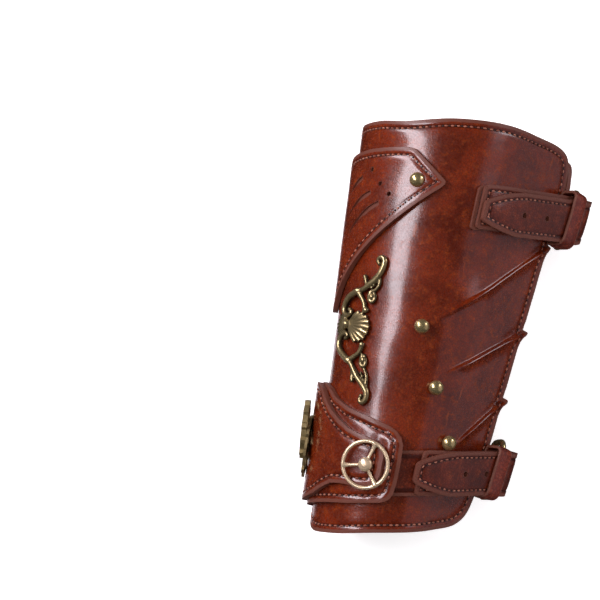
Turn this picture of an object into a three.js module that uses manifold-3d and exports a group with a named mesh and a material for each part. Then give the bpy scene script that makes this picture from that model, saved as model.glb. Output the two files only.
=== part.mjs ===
// A studded leather arm cuff, fastened with two buckled straps and lying on its side.
// Millimetres, +Z up. +Y runs along the arm to the elbow end, +X to the side with the straps' seam.
// Around the arm, places are angles in degrees from the outer line of the arm (the side facing -X).
// Positive angles go over the top to the near seam edge, negative ones underneath to the far edge.
import * as THREE from 'three';
import Module from 'manifold-3d';

const wasm = await Module();
wasm.setup();

const DEG = Math.PI / 180;
const LEATHER = 2.3;          // panels and straps
const WALL = 2.4;             // the cuff's own wall
const PLY = 1.7;              // folded strap that holds a buckle
const FIT = 0.3;              // air between neighbouring pieces
const MID_RADIUS = 36.6;      // round of the wall at the middle of the arm
const TAPER = 0.072;          // growth of that round for each millimetre towards the elbow
const FLAP_ANGLE = 138;       // where the round turns into the two straight flaps of the seam
const SEAM_GAP = 3.0;         // how far each flap ends before the point where they would meet
const FAR_OVERHANG = 3.4;     // far flap's upper corner shows past the near one
const FLAT_DEPTH = 2.0;       // how deep the underside is pressed flat
const REST_LIFT = LEATHER + FIT;
const STRAP_WIDTH = 20;
const STUD_DIAMETER = 6.6;

const flapLean = (FLAP_ANGLE - 90) * DEG;
const POINT_ANGLE = FLAP_ANGLE + 1 / Math.tan(flapLean) / DEG;

const radius = (y) => MID_RADIUS + TAPER * y;
const lerp = (a, b, t) => a + (b - a) * t;
const smooth = (t) => {
  const u = Math.min(1, Math.max(0, t));
  return u * u * (3 - 2 * u);
};

// Reads a table of rows [key, value, value...] between its rows.
function read(table, key, column) {
  let i = 1;
  while (i < table.length - 1 && table[i][0] < key) i += 1;
  const [a, b] = [table[i - 1], table[i]];
  const t = Math.min(1, Math.max(0, (key - a[0]) / (b[0] - a[0])));
  return lerp(a[column], b[column], t);
}

// A place on the wall: angle around, length along, height above the wall's outer face.
function place(angle, y, lift = 0) {
  const r = radius(y);
  const turn = Math.min(Math.abs(angle), FLAP_ANGLE);
  const run = r * (Math.abs(angle) - turn) * DEG;
  const t = (turn - 90) * DEG;
  const x = (r + lift) * Math.sin(t) + run * Math.cos(t);
  const up = ((r + lift) * Math.cos(t) - run * Math.sin(t)) * (angle < 0 ? -1 : 1);
  const z = REST_LIFT + r - FLAT_DEPTH + up;
  return new THREE.Vector3(x, y, Math.max(z, REST_LIFT - lift));
}

// Unit vectors on the wall: around it, along it and away from it.
function axesAt(angle, y, lift = 0) {
  const around = place(angle + 0.05, y, lift).sub(place(angle - 0.05, y, lift)).normalize();
  const along = place(angle, y + 0.05, lift).sub(place(angle, y - 0.05, lift)).normalize();
  const out = new THREE.Vector3().crossVectors(around, along).normalize();
  return { around, along: new THREE.Vector3().crossVectors(out, around), out };
}

// Solid between two grids of points of the same size.
function slab(outer, inner) {
  const [rows, cols] = [outer.length, outer[0].length];
  const points = [...outer.flat(), ...inner.flat()];
  const half = rows * cols;
  const faces = [];
  const quad = (a, b, c, d) => faces.push(a, b, c, a, c, d);
  for (let i = 0; i < rows - 1; i += 1) {
    for (let j = 0; j < cols - 1; j += 1) {
      const a = i * cols + j;
      quad(a, a + cols, a + cols + 1, a + 1);
      quad(half + a, half + a + 1, half + a + cols + 1, half + a + cols);
    }
  }
  const rim = [];
  for (let j = 0; j < cols - 1; j += 1) rim.push(j);
  for (let i = 0; i < rows - 1; i += 1) rim.push(i * cols + cols - 1);
  for (let j = cols - 1; j > 0; j -= 1) rim.push((rows - 1) * cols + j);
  for (let i = rows - 1; i > 0; i -= 1) rim.push(i * cols);
  rim.forEach((a, k) => {
    const b = rim[(k + 1) % rim.length];
    quad(a, b, half + b, half + a);
  });
  return solidFrom(points, faces);
}

function solidFrom(points, faces) {
  const geometry = new THREE.BufferGeometry();
  const numbers = points.flatMap((p) => p.toArray());
  geometry.setAttribute('position', new THREE.Float32BufferAttribute(numbers, 3));
  geometry.setIndex(faces);
  let volume = 0;
  for (let k = 0; k < faces.length; k += 3) {
    const [a, b, c] = [points[faces[k]], points[faces[k + 1]], points[faces[k + 2]]];
    volume += a.dot(new THREE.Vector3().crossVectors(b, c));
  }
  if (volume < 0) geometry.setIndex(faces.map((_, k) => faces[k - (k % 3) + 2 - (k % 3)]));
  return geometry;
}

const toManifold = (geometry) => new wasm.Manifold(new wasm.Mesh({
  numProp: 3,
  vertProperties: new Float32Array(geometry.attributes.position.array),
  triVerts: new Uint32Array(geometry.index.array),
}));

function fromManifold(solid) {
  const mesh = solid.getMesh();
  const geometry = new THREE.BufferGeometry();
  geometry.setAttribute('position', new THREE.BufferAttribute(mesh.vertProperties, 3));
  geometry.setIndex([...mesh.triVerts]);
  return geometry;
}

const join = (list) => fromManifold(list.map(toManifold).reduce((a, b) => a.add(b)));
const cut = (body, tools) => {
  const solid = tools.map(toManifold).reduce((a, b) => a.subtract(b), toManifold(body));
  return fromManifold(solid);
};

// Rings of points joined into a bar, closed on itself or capped at both ends.
function bar(rings, closed = false) {
  const sides = rings[0].length;
  const points = rings.flat();
  const faces = [];
  const count = closed ? rings.length : rings.length - 1;
  for (let k = 0; k < count; k += 1) {
    const next = (k + 1) % rings.length;
    for (let j = 0; j < sides; j += 1) {
      const [a, b] = [k * sides + j, k * sides + ((j + 1) % sides)];
      const [c, d] = [next * sides + ((j + 1) % sides), next * sides + j];
      faces.push(a, b, c, a, c, d);
    }
  }
  if (!closed) {
    const last = (rings.length - 1) * sides;
    for (let j = 1; j < sides - 1; j += 1) {
      faces.push(0, j + 1, j);
      faces.push(last, last + j, last + j + 1);
    }
  }
  return solidFrom(points, faces);
}

// One ring of an oval section about a centre.
function ring(centre, side, up, halfWide, halfHigh, sides) {
  return Array.from({ length: sides }, (_, j) => {
    const a = (j + 0.5) / sides * 2 * Math.PI;
    const spot = centre.clone().addScaledVector(side, halfWide * Math.cos(a));
    return spot.addScaledVector(up, halfHigh * Math.sin(a));
  });
}

// A round turned piece standing on the wall: rows are [radius, height].
function turned(profile, origin, axes, sides = 14) {
  const rings = profile.map(([r, h]) => {
    return ring(origin.clone().addScaledVector(axes.out, h), axes.around, axes.along, r, r, sides);
  });
  return bar(rings);
}

// A panel of leather on the wall. Outline rows are [angle, wrist side, elbow side].
function panel(outline, { step, rows, base, thick }) {
  const angles = [];
  outline.forEach(([angle], k) => {
    if (k) {
      const before = outline[k - 1][0];
      const parts = Math.ceil((angle - before) / step);
      for (let i = 1; i < parts; i += 1) angles.push(lerp(before, angle, i / parts));
    }
    angles.push(angle);
  });
  const face = (lift) => angles.map((angle) => Array.from({ length: rows + 1 }, (_, j) => {
    const y = lerp(read(outline, angle, 1), read(outline, angle, 2), j / rows);
    return place(angle, y, base(angle, y) + lift);
  }));
  return slab(face(thick), face(0));
}

// Mirrors a half outline about the outer line, the far half ending at its own limit.
function bothSides(half, farLimit) {
  const far = half.filter(([angle]) => angle > 0 && angle < farLimit);
  far.push([farLimit, read(half, farLimit, 1), read(half, farLimit, 2)]);
  return [...far.reverse().map(([angle, low, high]) => [-angle, low, high]), ...half];
}

// The wall: edges of the flat leather, [angle, wrist edge, elbow edge].
const seamAngle = (y) => POINT_ANGLE - SEAM_GAP / radius(y) / DEG;
const SEAM = seamAngle(0);
const WALL_EDGES = [
  [0, -96.5, 84.5],
  [11, -99.5, 84],
  [22, -101.3, 83.4],
  [38, -101.8, 82.7],
  [60, -101, 82],
  [90, -98, 85.5],
  [120, -94.5, 88.5],
  [150, -90, 90],
  [168, -86.5, 90.5],
  [178, -82, 88.5],
  [182.5, -77, 84],
  [SEAM, -70, 76],
];
// The hidden half is cut a little shorter at the wrist.
const FAR_TRIM = 5;
const wristEdge = (angle) => read(WALL_EDGES, Math.abs(angle), 1) + FAR_TRIM * smooth(-angle / 40);
// Three pinched folds that run from a stud up to the near seam edge.
const FOLDS = [
  { from: 141, y: -54.2, climb: 0.63, height: 3.1 },
  { from: 116, y: -25.2, climb: 0.445, height: 3.1 },
  { from: 98, y: -5.4, climb: 0.59, height: 1.5 },
];
// Across a fold: [distance towards the elbow, share of the fold's height].
const FOLD_PROFILE = [
  [-7, 0],
  [-2.5, 0.42],
  [0, 1],
  [1.7, -0.15],
  [6, 0],
];
const crest = (fold, angle) => fold.y + fold.climb * Math.max(0, angle - fold.from);
// A fold rises soon after its stud and ends in a small ear at the seam edge.
const foldHeight = (fold, angle) => {
  const share = (angle - fold.from) / (SEAM - fold.from);
  return fold.height * (0.4 * smooth(share / 0.3) + 0.6 * smooth((share - 0.6) / 0.4));
};
const foldLift = (angle, y) => FOLDS.reduce((sum, fold) => {
  return sum + foldHeight(fold, angle) * read(FOLD_PROFILE, y - crest(fold, angle), 1);
}, 0);

function cuffWall() {
  const angles = [];
  for (let angle = -SEAM; angle < 84; angle += 12) angles.push(angle);
  for (let angle = 88; angle < 160; angle += 10) angles.push(angle);
  angles.push(168, 173, 178, 182.5, SEAM);
  const lines = (angle) => {
    const low = wristEdge(angle);
    const high = read(WALL_EDGES, Math.abs(angle), 2);
    const steps = FOLD_PROFILE.map(([distance]) => distance);
    const folds = FOLDS.flatMap((fold) => steps.map((step) => crest(fold, angle) + step));
    const list = [lerp(low, folds[0], 0.35), lerp(low, folds[0], 0.7), ...folds];
    list.push(lerp(folds.at(-1), high, 0.4), lerp(folds.at(-1), high, 0.8));
    return [low, ...list.map((y) => Math.min(high - 1.5, Math.max(low + 1.5, y))), high];
  };
  const spread = (list) => {
    for (let k = 1; k < list.length; k += 1) list[k] = Math.max(list[k], list[k - 1] + 0.4);
    for (let k = list.length - 2; k >= 0; k -= 1) list[k] = Math.min(list[k], list[k + 1] - 0.4);
    return list;
  };
  const face = (depth) => angles.map((angle) => {
    const list = lines(angle);
    const top = list.at(-1);
    const ends = spread(list).map((y) => Math.min(y, top));
    return ends.map((y) => {
      const share = Math.max(0, (Math.abs(angle) / SEAM - 0.8) / 0.2);
      const shift = Math.sign(angle) * (seamAngle(y) - SEAM) * share;
      const overhang = FAR_OVERHANG / radius(y) / DEG;
      const past = overhang * smooth((y - 64) / 10) * smooth((-angle - 150) / 30);
      return place(angle + shift - past, y, foldLift(angle, y) - depth);
    });
  });
  return slab(face(0), face(WALL));
}

// Upper patch with a clawed front: pierced by three holes and three curved cuts.
const CLAW_HALF = [
  [0, -2, 68.5],
  [4, -1.4, 68.4],
  [66, 39, 69.5],
  [69, 41, 69],
  [88, 53.6, 58],
  [90, 55.4, 56.8],
];
const CLAW_HOLES = [
  [40.2, 59.7],
  [48.8, 53],
  [56.5, 48.4],
];
const CLAW_CUTS = [
  { from: [32, 56.3], bend: [22, 54], to: [15, 49.4] },
  { from: [42, 49], bend: [28, 46], to: [16.5, 38.5] },
  { from: [50, 44], bend: [33, 39], to: [19, 28.4] },
];
const HOLE_DIAMETER = 2.1;
const CUT_WIDE = 1.7;
const CUT_NARROW = 0.7;

const post = (angle, y, size, low, high) => turned(
  [[size / 2, low], [size / 2, high]],
  place(angle, y),
  axesAt(angle, y),
  8,
);

function clawCut({ from, bend, to }) {
  const curve = new THREE.QuadraticBezierCurve(...[from, bend, to].map((p) => new THREE.Vector2(...p)));
  const edge = (side, lift) => curve.getPoints(4).map((p, k) => {
    const way = curve.getTangent(k / 4);
    const scale = radius(p.y) * DEG;
    const across = new THREE.Vector2(-way.y, way.x * scale).normalize();
    const half = lerp(CUT_WIDE, CUT_NARROW, k / 4) / 2 * side;
    return place(p.x + across.x * half / scale, p.y + across.y * half, lift);
  });
  const face = (lift) => [edge(1, lift), edge(-1, lift)];
  return slab(face(LEATHER + 2), face(0.1));
}

function clawPatch() {
  const body = panel(bothSides(CLAW_HALF, 90), { step: 15, rows: 3, base: () => FIT, thick: LEATHER });
  const holes = CLAW_HOLES.map(([angle, y]) => post(angle, y, HOLE_DIAMETER, -0.2, LEATHER + 2));
  return cut(body, [...holes, ...CLAW_CUTS.map(clawCut)]);
}

// Wrist patches: a broad one below and a narrower one with a waist on it.
const WRIST_HALF = [
  [0, -90, -34],
  [14, -89.7, -35.2],
  [26, -89.3, -38],
  [36, -89, -42.3],
  [51, -88.4, -46.6],
  [64, -87.8, -48.8],
  [76, -86.6, -50.5],
  [86, -85.6, -52],
  [91, -84.8, -53.4],
  [94.5, -83.4, -55.8],
  [96.8, -81, -59],
  [97.7, -76, -66],
];
const OVERLAY_HALF = [
  [0, -88.4, -34.6],
  [12, -88, -35.6],
  [22, -86.9, -38.8],
  [30, -85.6, -43.7],
  [39, -83, -48.6],
  [48.5, -80.4, -52.8],
  [57, -80, -55.9],
  [65, -80.2, -57.7],
  [78, -79.6, -59.3],
  [84, -77.4, -62],
  [85.6, -74, -66],
];
const OVERLAY_FAR = 58;
const WRIST_FAR = 92;
// The broad patch rides over the end of the lower strap.
const RIDE_FROM = 86;
const RIDE_TO = 91;
const wristBase = (angle, y) => {
  const over = smooth((angle - RIDE_FROM) / (RIDE_TO - RIDE_FROM));
  return FIT + (LEATHER + FIT) * over * smooth((-53 - y) / 5);
};

// Straps. Distances run along the strap from the seam's point, negative on the wall.
const BEND_START = 3;
const BEND_DEPTH = -1.5;
const BEND_TURN = 60 * DEG;
const BEND_RADIUS = 6.5;
const bendLength = BEND_RADIUS * BEND_TURN;

// A place on a strap near the seam: distance past the seam's point, length along the arm, lift.
function nearStrap(distance, y, lift) {
  const flat = Math.min(distance, BEND_START);
  const angleOf = (d) => POINT_ANGLE + d / radius(y) / DEG;
  if (distance <= BEND_START) return place(angleOf(flat), y, lift);
  const centre = place(angleOf(flat), y, BEND_DEPTH);
  const turn = Math.min((distance - BEND_START) / BEND_RADIUS, BEND_TURN);
  const run = distance - BEND_START - BEND_RADIUS * turn;
  const a = Math.PI / 2 - flapLean - turn;
  const out = new THREE.Vector3(Math.cos(a), 0, Math.sin(a));
  const on = new THREE.Vector3(Math.sin(a), 0, -Math.cos(a));
  return centre.addScaledVector(out, lift - BEND_DEPTH).addScaledVector(on, run);
}

// A strap of leather. Stations are { at(y, lift), middle, lift, wide }.
function strap(stations, thick) {
  const rings = stations.map(({ at, middle, lift, wide }) => {
    const half = STRAP_WIDTH / 2 * wide;
    return [
      at(middle - half, lift + thick / 2),
      at(middle + half, lift + thick / 2),
      at(middle + half, lift - thick / 2),
      at(middle - half, lift - thick / 2),
    ];
  });
  return bar(rings);
}

// Each strap set: middle line [y at angle 110, rise for each degree], where its ends lie,
// and the lift of its plies at the wall end and at the keeper.
const STRAPS = {
  upper: {
    y: 49, climb: 0.155, tongueDrop: 1.4,
    anchorEnd: 110.5, foldEnd: 113, tip: 114, root: 100, holes: [142, 163],
  },
  lower: {
    y: -69.3, climb: 0.125, tongueDrop: 0,
    anchorEnd: 92, foldEnd: 113, tip: 108.5, root: 95, holes: [150, 174],
  },
};
const LOW_PLY = [FIT + PLY / 2, 2.9];
const HIGH_PLY = [2 * FIT + 1.5 * PLY, 4.9];
const TONGUE_TIP_LIFT = 5.6;
const TONGUE_LIFT = 7.1;
const KEEPER_FROM = -5;
const KEEPER_TO = 4;
const KEEPER_WALL = 1.4;
const HEEL_AT = BEND_START + bendLength + 2.6;
const HEEL_LIFT = 3.9;
const FRAME_REACH = 12.5;
const WIRE = 3;
const ROLLER = 4.4;
const FOLD_ROUND = WIRE / 2 + FIT + PLY / 2;

// Past its keeper a strap rises on towards its buckle.
const BUCKLE_RISE = 0.36;
const riseAt = (distance) => BUCKLE_RISE * Math.max(0, distance - KEEPER_TO);
const middleAt = (set, angle) => set.y + set.climb * (angle - 110);
const seamMiddle = (set) => middleAt(set, POINT_ANGLE);
const wallStation = (set, angle, lift, wide = 1, drop = 0) => ({
  at: (y, up) => place(angle, y, up),
  middle: middleAt(set, Math.abs(angle)) - drop,
  lift,
  wide,
});
const buckleStation = (set, on, lift) => ({
  at: (y, up) => atBuckle(buckleAxes(set), on, y - seamMiddle(set), up - HEEL_LIFT),
  middle: seamMiddle(set),
  lift,
  wide: 1,
});
const nearStation = (set, distance, lift, drop = 0) => ({
  at: (y, up) => nearStrap(distance, y, up),
  middle: seamMiddle(set) + riseAt(distance) - drop,
  lift,
  wide: 1,
});

// The ply's lift along the wall, rising towards the keeper.
const plyLift = (ply, angle, from) => {
  const share = (angle - from) / (POINT_ANGLE - 10 - from);
  return lerp(ply[0], ply[1], smooth(share));
};

// The tongue lies on the upper ply and rises with it.
const tongueLift = (set, angle) => plyLift([TONGUE_TIP_LIFT, TONGUE_LIFT], angle, set.foldEnd);

// One strip folded round the buckle's heel bar: upper ply, the fold, lower ply.
function anchorStrap(set) {
  const run = (from, ply) => {
    const list = [];
    for (let angle = from; angle < POINT_ANGLE - 4; angle += 8) list.push(angle);
    return list.map((angle) => wallStation(set, angle, plyLift(ply, angle, from)));
  };
  const ends = (ply) => [-2, BEND_START].map((d) => nearStation(set, d, ply[1]));
  const bend = (ply, bar0) => [0.33, 0.67, 1].map((t) => {
    return nearStation(set, BEND_START + bendLength * t, lerp(ply[1], bar0, smooth(t)));
  });
  const whole = (from, ply, last) => [...run(from, ply), ...ends(ply), ...bend(ply, last)];
  const high = whole(set.foldEnd, HIGH_PLY, HEEL_LIFT + FOLD_ROUND);
  const low = whole(set.anchorEnd, LOW_PLY, HEEL_LIFT - FOLD_ROUND);
  const plyRing = ({ at, middle, lift }, side) => {
    const half = STRAP_WIDTH / 2;
    const [out, into] = [lift + side * PLY / 2, lift - side * PLY / 2];
    const edges = [[-half, out], [half, out], [half, into], [-half, into]];
    return edges.map(([across, up]) => at(middle + across, up));
  };
  const axes = buckleAxes(set);
  const round = [90, 60, 30, 0, -30, -60, -90].map((degrees) => {
    const a = degrees * DEG;
    const half = STRAP_WIDTH / 2;
    const at = (b, r) => atBuckle(axes, r * Math.cos(a), b, r * Math.sin(a));
    const [out, into] = [FOLD_ROUND + PLY / 2, FOLD_ROUND - PLY / 2];
    return [at(-half, out), at(half, out), at(half, into), at(-half, into)];
  });
  const rings = [
    ...high.map((station) => plyRing(station, 1)),
    ...round,
    ...low.reverse().map((station) => plyRing(station, -1)),
  ];
  const body = bar(rings);
  return cut(body, [prongSlot(set)]);
}

// Unit vectors of a buckle: along the strap, across it and out from it.
function buckleAxes(set) {
  const y = seamMiddle(set) + riseAt(HEEL_AT);
  const origin = nearStrap(HEEL_AT, y, HEEL_LIFT);
  const on = nearStrap(HEEL_AT + 5, y, HEEL_LIFT).sub(origin).normalize();
  const side = nearStrap(HEEL_AT, y + 5, HEEL_LIFT).sub(nearStrap(HEEL_AT, y - 5, HEEL_LIFT)).normalize();
  const out = new THREE.Vector3().crossVectors(on, side).normalize();
  const across = new THREE.Vector3().crossVectors(out, on);
  return { on, across, out, origin };
}
const atBuckle = ({ origin, on, across, out }, a, b, c) => origin.clone()
  .addScaledVector(on, a).addScaledVector(across, b).addScaledVector(out, c);

// A plain block in the buckle's own directions, for cutting slots.
function buckleBlock(axes, low, high) {
  const face = (c) => [[low[0], low[1]], [high[0], low[1]], [high[0], high[1]], [low[0], high[1]]]
    .map(([a, b]) => atBuckle(axes, a, b, c));
  return bar([face(low[2]), face(high[2])]);
}

const PRONG = 2.6;
const PRONG_SLOT = PRONG + 2 * FIT + 0.4;
const prongSlot = (set) => {
  const half = PRONG_SLOT / 2;
  return buckleBlock(buckleAxes(set), [-3.4, -half, -6], [8, half, 8]);
};

const FRAME_HALF = STRAP_WIDTH / 2 + 1.5 + WIRE / 2;
const FRAME_CORNER = 4;
function buckleFrame(set) {
  const axes = buckleAxes(set);
  const spots = [];
  const corners = [
    [FRAME_CORNER, -FRAME_HALF + FRAME_CORNER, 180],
    [FRAME_REACH - FRAME_CORNER, -FRAME_HALF + FRAME_CORNER, 270],
    [FRAME_REACH - FRAME_CORNER, FRAME_HALF - FRAME_CORNER, 0],
    [FRAME_CORNER, FRAME_HALF - FRAME_CORNER, 90],
  ];
  corners.forEach(([a, b, from]) => {
    [0, 30, 60, 90].forEach((step) => {
      const t = (from + step) * DEG;
      spots.push({ a: a + FRAME_CORNER * Math.cos(t), b: b + FRAME_CORNER * Math.sin(t), t });
    });
  });
  const rings = spots.map(({ a, b, t }) => {
    const side = axes.on.clone().multiplyScalar(Math.cos(t)).addScaledVector(axes.across, Math.sin(t));
    return ring(atBuckle(axes, a, b, 0), side, axes.out, WIRE / 2, WIRE / 2, 8);
  });
  return bar(rings, true);
}

const ROLLER_LENGTH = 15;
function buckleRoller(set) {
  const axes = buckleAxes(set);
  const hoop = (b, r) => ring(atBuckle(axes, FRAME_REACH, b, 0), axes.on, axes.out, r, r, 14);
  const half = ROLLER_LENGTH / 2;
  const bore = WIRE / 2 + FIT;
  const rings = [hoop(-half, bore), hoop(-half, ROLLER / 2), hoop(half, ROLLER / 2), hoop(half, bore)];
  return bar(rings, true);
}

// The prong: an eye round the heel bar and a tapered pin that ends on the roller.
function buckleProng(set) {
  const axes = buckleAxes(set);
  const eye = WIRE / 2 + FIT;
  const hoop = (b, r) => ring(atBuckle(axes, 0, b, 0), axes.on, axes.out, r, r, 14);
  const half = PRONG / 2;
  const loop = bar([hoop(-half, eye), hoop(-half, eye + 1), hoop(half, eye + 1), hoop(half, eye)], true);
  const line = [
    [eye + 0.5, 0.4, 1.3],
    [5, 2.3, 1.2],
    [FRAME_REACH, ROLLER / 2 + FIT + 0.9, 0.9],
    [FRAME_REACH + 1.6, ROLLER / 2 + FIT + 0.6, 0.7],
  ];
  const rings = line.map(([a, c, r]) => ring(atBuckle(axes, a, 0, c), axes.across, axes.out, r, r, 10));
  return join([loop, bar(rings)]);
}

// Pointed end of the free strap: [distance from the tip, share of the full width].
const TONGUE_TIP = [
  [0, 0.32],
  [1.8, 0.53],
  [5, 0.68],
  [9, 0.8],
  [14, 0.91],
  [20, 1],
];
// The free strap: tip on the near side, over the fold, through the buckle, root on the far side.
function tongueStrap(set) {
  const drop = set.tongueDrop;
  const degrees = (distance) => distance / radius(set.y) / DEG;
  const stations = TONGUE_TIP.map(([distance, wide]) => {
    const angle = set.tip + degrees(distance);
    return wallStation(set, angle, tongueLift(set, angle), wide, drop);
  });
  for (let angle = set.tip + degrees(20) + 8; angle < POINT_ANGLE - 4; angle += 8) {
    stations.push(wallStation(set, angle, tongueLift(set, angle), 1, drop));
  }
  const high = HEEL_LIFT + FOLD_ROUND + PLY / 2 + FIT + LEATHER / 2;
  const low = HEEL_LIFT - ROLLER / 2 - FIT - LEATHER / 2;
  stations.push(nearStation(set, -2, TONGUE_LIFT, drop), nearStation(set, BEND_START, TONGUE_LIFT, drop));
  [0.33, 0.67, 1].forEach((t) => {
    const lift = lerp(TONGUE_LIFT, high, t);
    stations.push(nearStation(set, BEND_START + bendLength * t, lift, drop * (1 - t)));
  });
  stations.push(buckleStation(set, 1.4, high), buckleStation(set, FRAME_REACH - 3.2, low + 0.4));
  stations.push(buckleStation(set, FRAME_REACH, low), buckleStation(set, FRAME_REACH + 3, low));
  const root = FIT + LEATHER / 2;
  for (let angle = -FLAP_ANGLE - 2; angle < -set.root - 3; angle += 6) {
    stations.push(wallStation(set, angle, root));
  }
  stations.push(wallStation(set, -set.root, root));
  const body = strap(stations, LEATHER);
  const holes = set.holes.map((angle) => {
    const y = middleAt(set, angle) - drop;
    return post(angle, y, HOLE_DIAMETER, tongueLift(set, angle) - 1.4, tongueLift(set, angle) + 3);
  });
  return cut(body, [prongSlot(set), ...holes]);
}

// The keeper: a closed loop of leather round the plies and the tongue.
const KEEPER_ROOM = [FIT + KEEPER_WALL, TONGUE_LIFT + LEATHER / 2 + FIT];
const KEEPER_SIDE = STRAP_WIDTH / 2 + 1.3;
const KEEPER_CORNER = 1.2;
function keeper(set) {
  const middle = seamMiddle(set) - set.tongueDrop / 2 - set.climb * 2;
  const side = KEEPER_SIDE + set.tongueDrop / 2;
  const spots = [];
  const corner = (b, c, from) => [0, 30, 60, 90].forEach((step) => {
    const t = (from + step) * DEG;
    spots.push([b, c, Math.cos(t), Math.sin(t)]);
  });
  corner(side - KEEPER_CORNER, KEEPER_ROOM[1] - KEEPER_CORNER, 0);
  corner(-side + KEEPER_CORNER, KEEPER_ROOM[1] - KEEPER_CORNER, 90);
  corner(-side + 0.4, KEEPER_ROOM[0] + 0.4, 180);
  corner(side - 0.4, KEEPER_ROOM[0] + 0.4, 270);
  const rings = spots.map(([b, c, u, v], k) => {
    const inner = k < 8 ? KEEPER_CORNER : 0.4;
    const outer = inner + KEEPER_WALL;
    const at = (distance, r) => nearStrap(distance, middle + b + r * u, c + r * v);
    return [at(KEEPER_FROM, outer), at(KEEPER_TO, outer), at(KEEPER_TO, inner), at(KEEPER_FROM, inner)];
  });
  return bar(rings, true);
}

// Ornaments.
const BALL_STUD = [
  [0.36, 0],
  [0.44, 0.5],
  [0.5, 1.9],
  [0.47, 3],
  [0.36, 4.1],
  [0.2, 4.8],
  [0.03, 5],
];
const DOME_STUD = [
  [0.5, 0],
  [0.5, 0.5],
  [0.42, 1.5],
  [0.28, 2.3],
  [0.12, 2.7],
  [0.02, 2.75],
];
const studOn = (profile, angle, y, lift) => turned(
  profile.map(([share, height]) => [share * STUD_DIAMETER, height]),
  place(angle, y, lift),
  axesAt(angle, y, lift),
  10,
);
const STUD_PLACES = [
  { angle: 93.3, y: -6.6 },
  { angle: 112, y: -31 },
  { angle: 133.5, y: -52.6 },
];

// Cast scrollwork. Each scroll: path rows [angle, y], half width at its root and at its end.
const SCROLL_LIFT = 1.3;
const SCROLL_HIGH = 1;
const SCROLLS = [
  {
    wide: [1.5, 1],
    path: [[54.5, 16], [59.5, 20], [55, 21.5], [56, 17], [58, 11], [54, 5], [51, -1], [40, -8]],
  },
  { wide: [1.2, 0.8], path: [[57, 10], [51, 13], [46, 11.5]] },
  { wide: [1.3, 0.9], path: [[54, 4], [47, 3.5], [40, 5.5], [31, 2.5], [27.5, -3], [33, -7], [36, -4]] },
  { wide: [1.2, 0.8], path: [[50, 0], [56, 2.5], [56, -2], [51, -3]] },
  {
    wide: [1.5, 1],
    path: [[63, -37], [59, -43.4], [64, -43.5], [63, -38], [57, -33], [56, -26], [52, -18], [41, -11]],
  },
  { wide: [1.2, 0.8], path: [[58, -33.5], [53, -36.5], [49, -33.5]] },
  {
    wide: [1.3, 0.9],
    path: [[55, -25], [48, -27.5], [40, -25.5], [29, -19.5], [27, -14.5], [32, -11.5], [36, -14]],
  },
  { wide: [1.2, 0.8], path: [[53, -19.5], [57.5, -22.5], [56.5, -17.5], [52, -16.5]] },
  { wide: [1.3, 0.9], path: [[38, -9.8], [47, -6.5], [55, -4.2]] },
  { wide: [1.3, 0.9], path: [[38, -10], [48, -9.3], [57.5, -8.6]] },
  { wide: [1.3, 0.9], path: [[38, -10.2], [48, -12.2], [58.5, -13.2]] },
  { wide: [1.3, 0.9], path: [[38, -10.4], [48, -14.6], [56, -17]] },
  { wide: [1.1, 0.6], path: [[38, -9.6], [30, -8.4], [25, -9.2]] },
];

function scroll({ wide, path }) {
  const curve = new THREE.CatmullRomCurve3(path.map(([angle, y]) => new THREE.Vector3(angle, y, 0)));
  const count = Math.round(path.length * 1.15);
  const spots = curve.getPoints(count).map((p) => place(p.x, p.y, SCROLL_LIFT));
  const rings = spots.map((spot, k) => {
    const t = k / count;
    const p = curve.getPoint(t);
    const way = spots[Math.min(k + 1, count)].clone().sub(spots[Math.max(k - 1, 0)]).normalize();
    const { out } = axesAt(p.x, p.y, SCROLL_LIFT);
    const side = new THREE.Vector3().crossVectors(way, out).normalize();
    const half = lerp(wide[0], wide[1], Math.abs(2 * t - 1)) * (k % count ? 1 : 0.6);
    return ring(spot, side, out, half, SCROLL_HIGH, 5);
  });
  return bar(rings);
}

// Flat wheels and gears, drawn in a plane that stands on the wall.
function flatAxes(angle, y, lift) {
  return { origin: place(angle, y, lift), ...axesAt(angle, y, lift) };
}
const onPlane = (axes, a, b, c) => axes.origin.clone()
  .addScaledVector(axes.around, a).addScaledVector(axes.along, b).addScaledVector(axes.out, c);
function hoopOn(axes, inner, outer, low, high, sides, tooth = 0) {
  const edge = (r, c, grow) => Array.from({ length: sides }, (_, k) => {
    const a = k / sides * 2 * Math.PI;
    const reach = r + (grow && k % 4 < 2 ? tooth : 0);
    return onPlane(axes, reach * Math.cos(a), reach * Math.sin(a), c);
  });
  const rings = [edge(inner, low, 0), edge(outer, low, 1), edge(outer, high, 1), edge(inner, high, 0)];
  const turnedRings = rings[0].map((_, k) => rings.map((list) => list[k]));
  return bar(turnedRings, true);
}
function spokeOn(axes, degrees, from, to, halfIn, halfOut, low, high) {
  const a = degrees * DEG;
  const [cos, sin] = [Math.cos(a), Math.sin(a)];
  const edges = [[from, -halfIn], [to, -halfOut], [to, halfOut], [from, halfIn]];
  const face = (c) => edges.map(([r, s]) => onPlane(axes, r * cos - s * sin, r * sin + s * cos, c));
  return bar([face(low), face(high)]);
}

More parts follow.
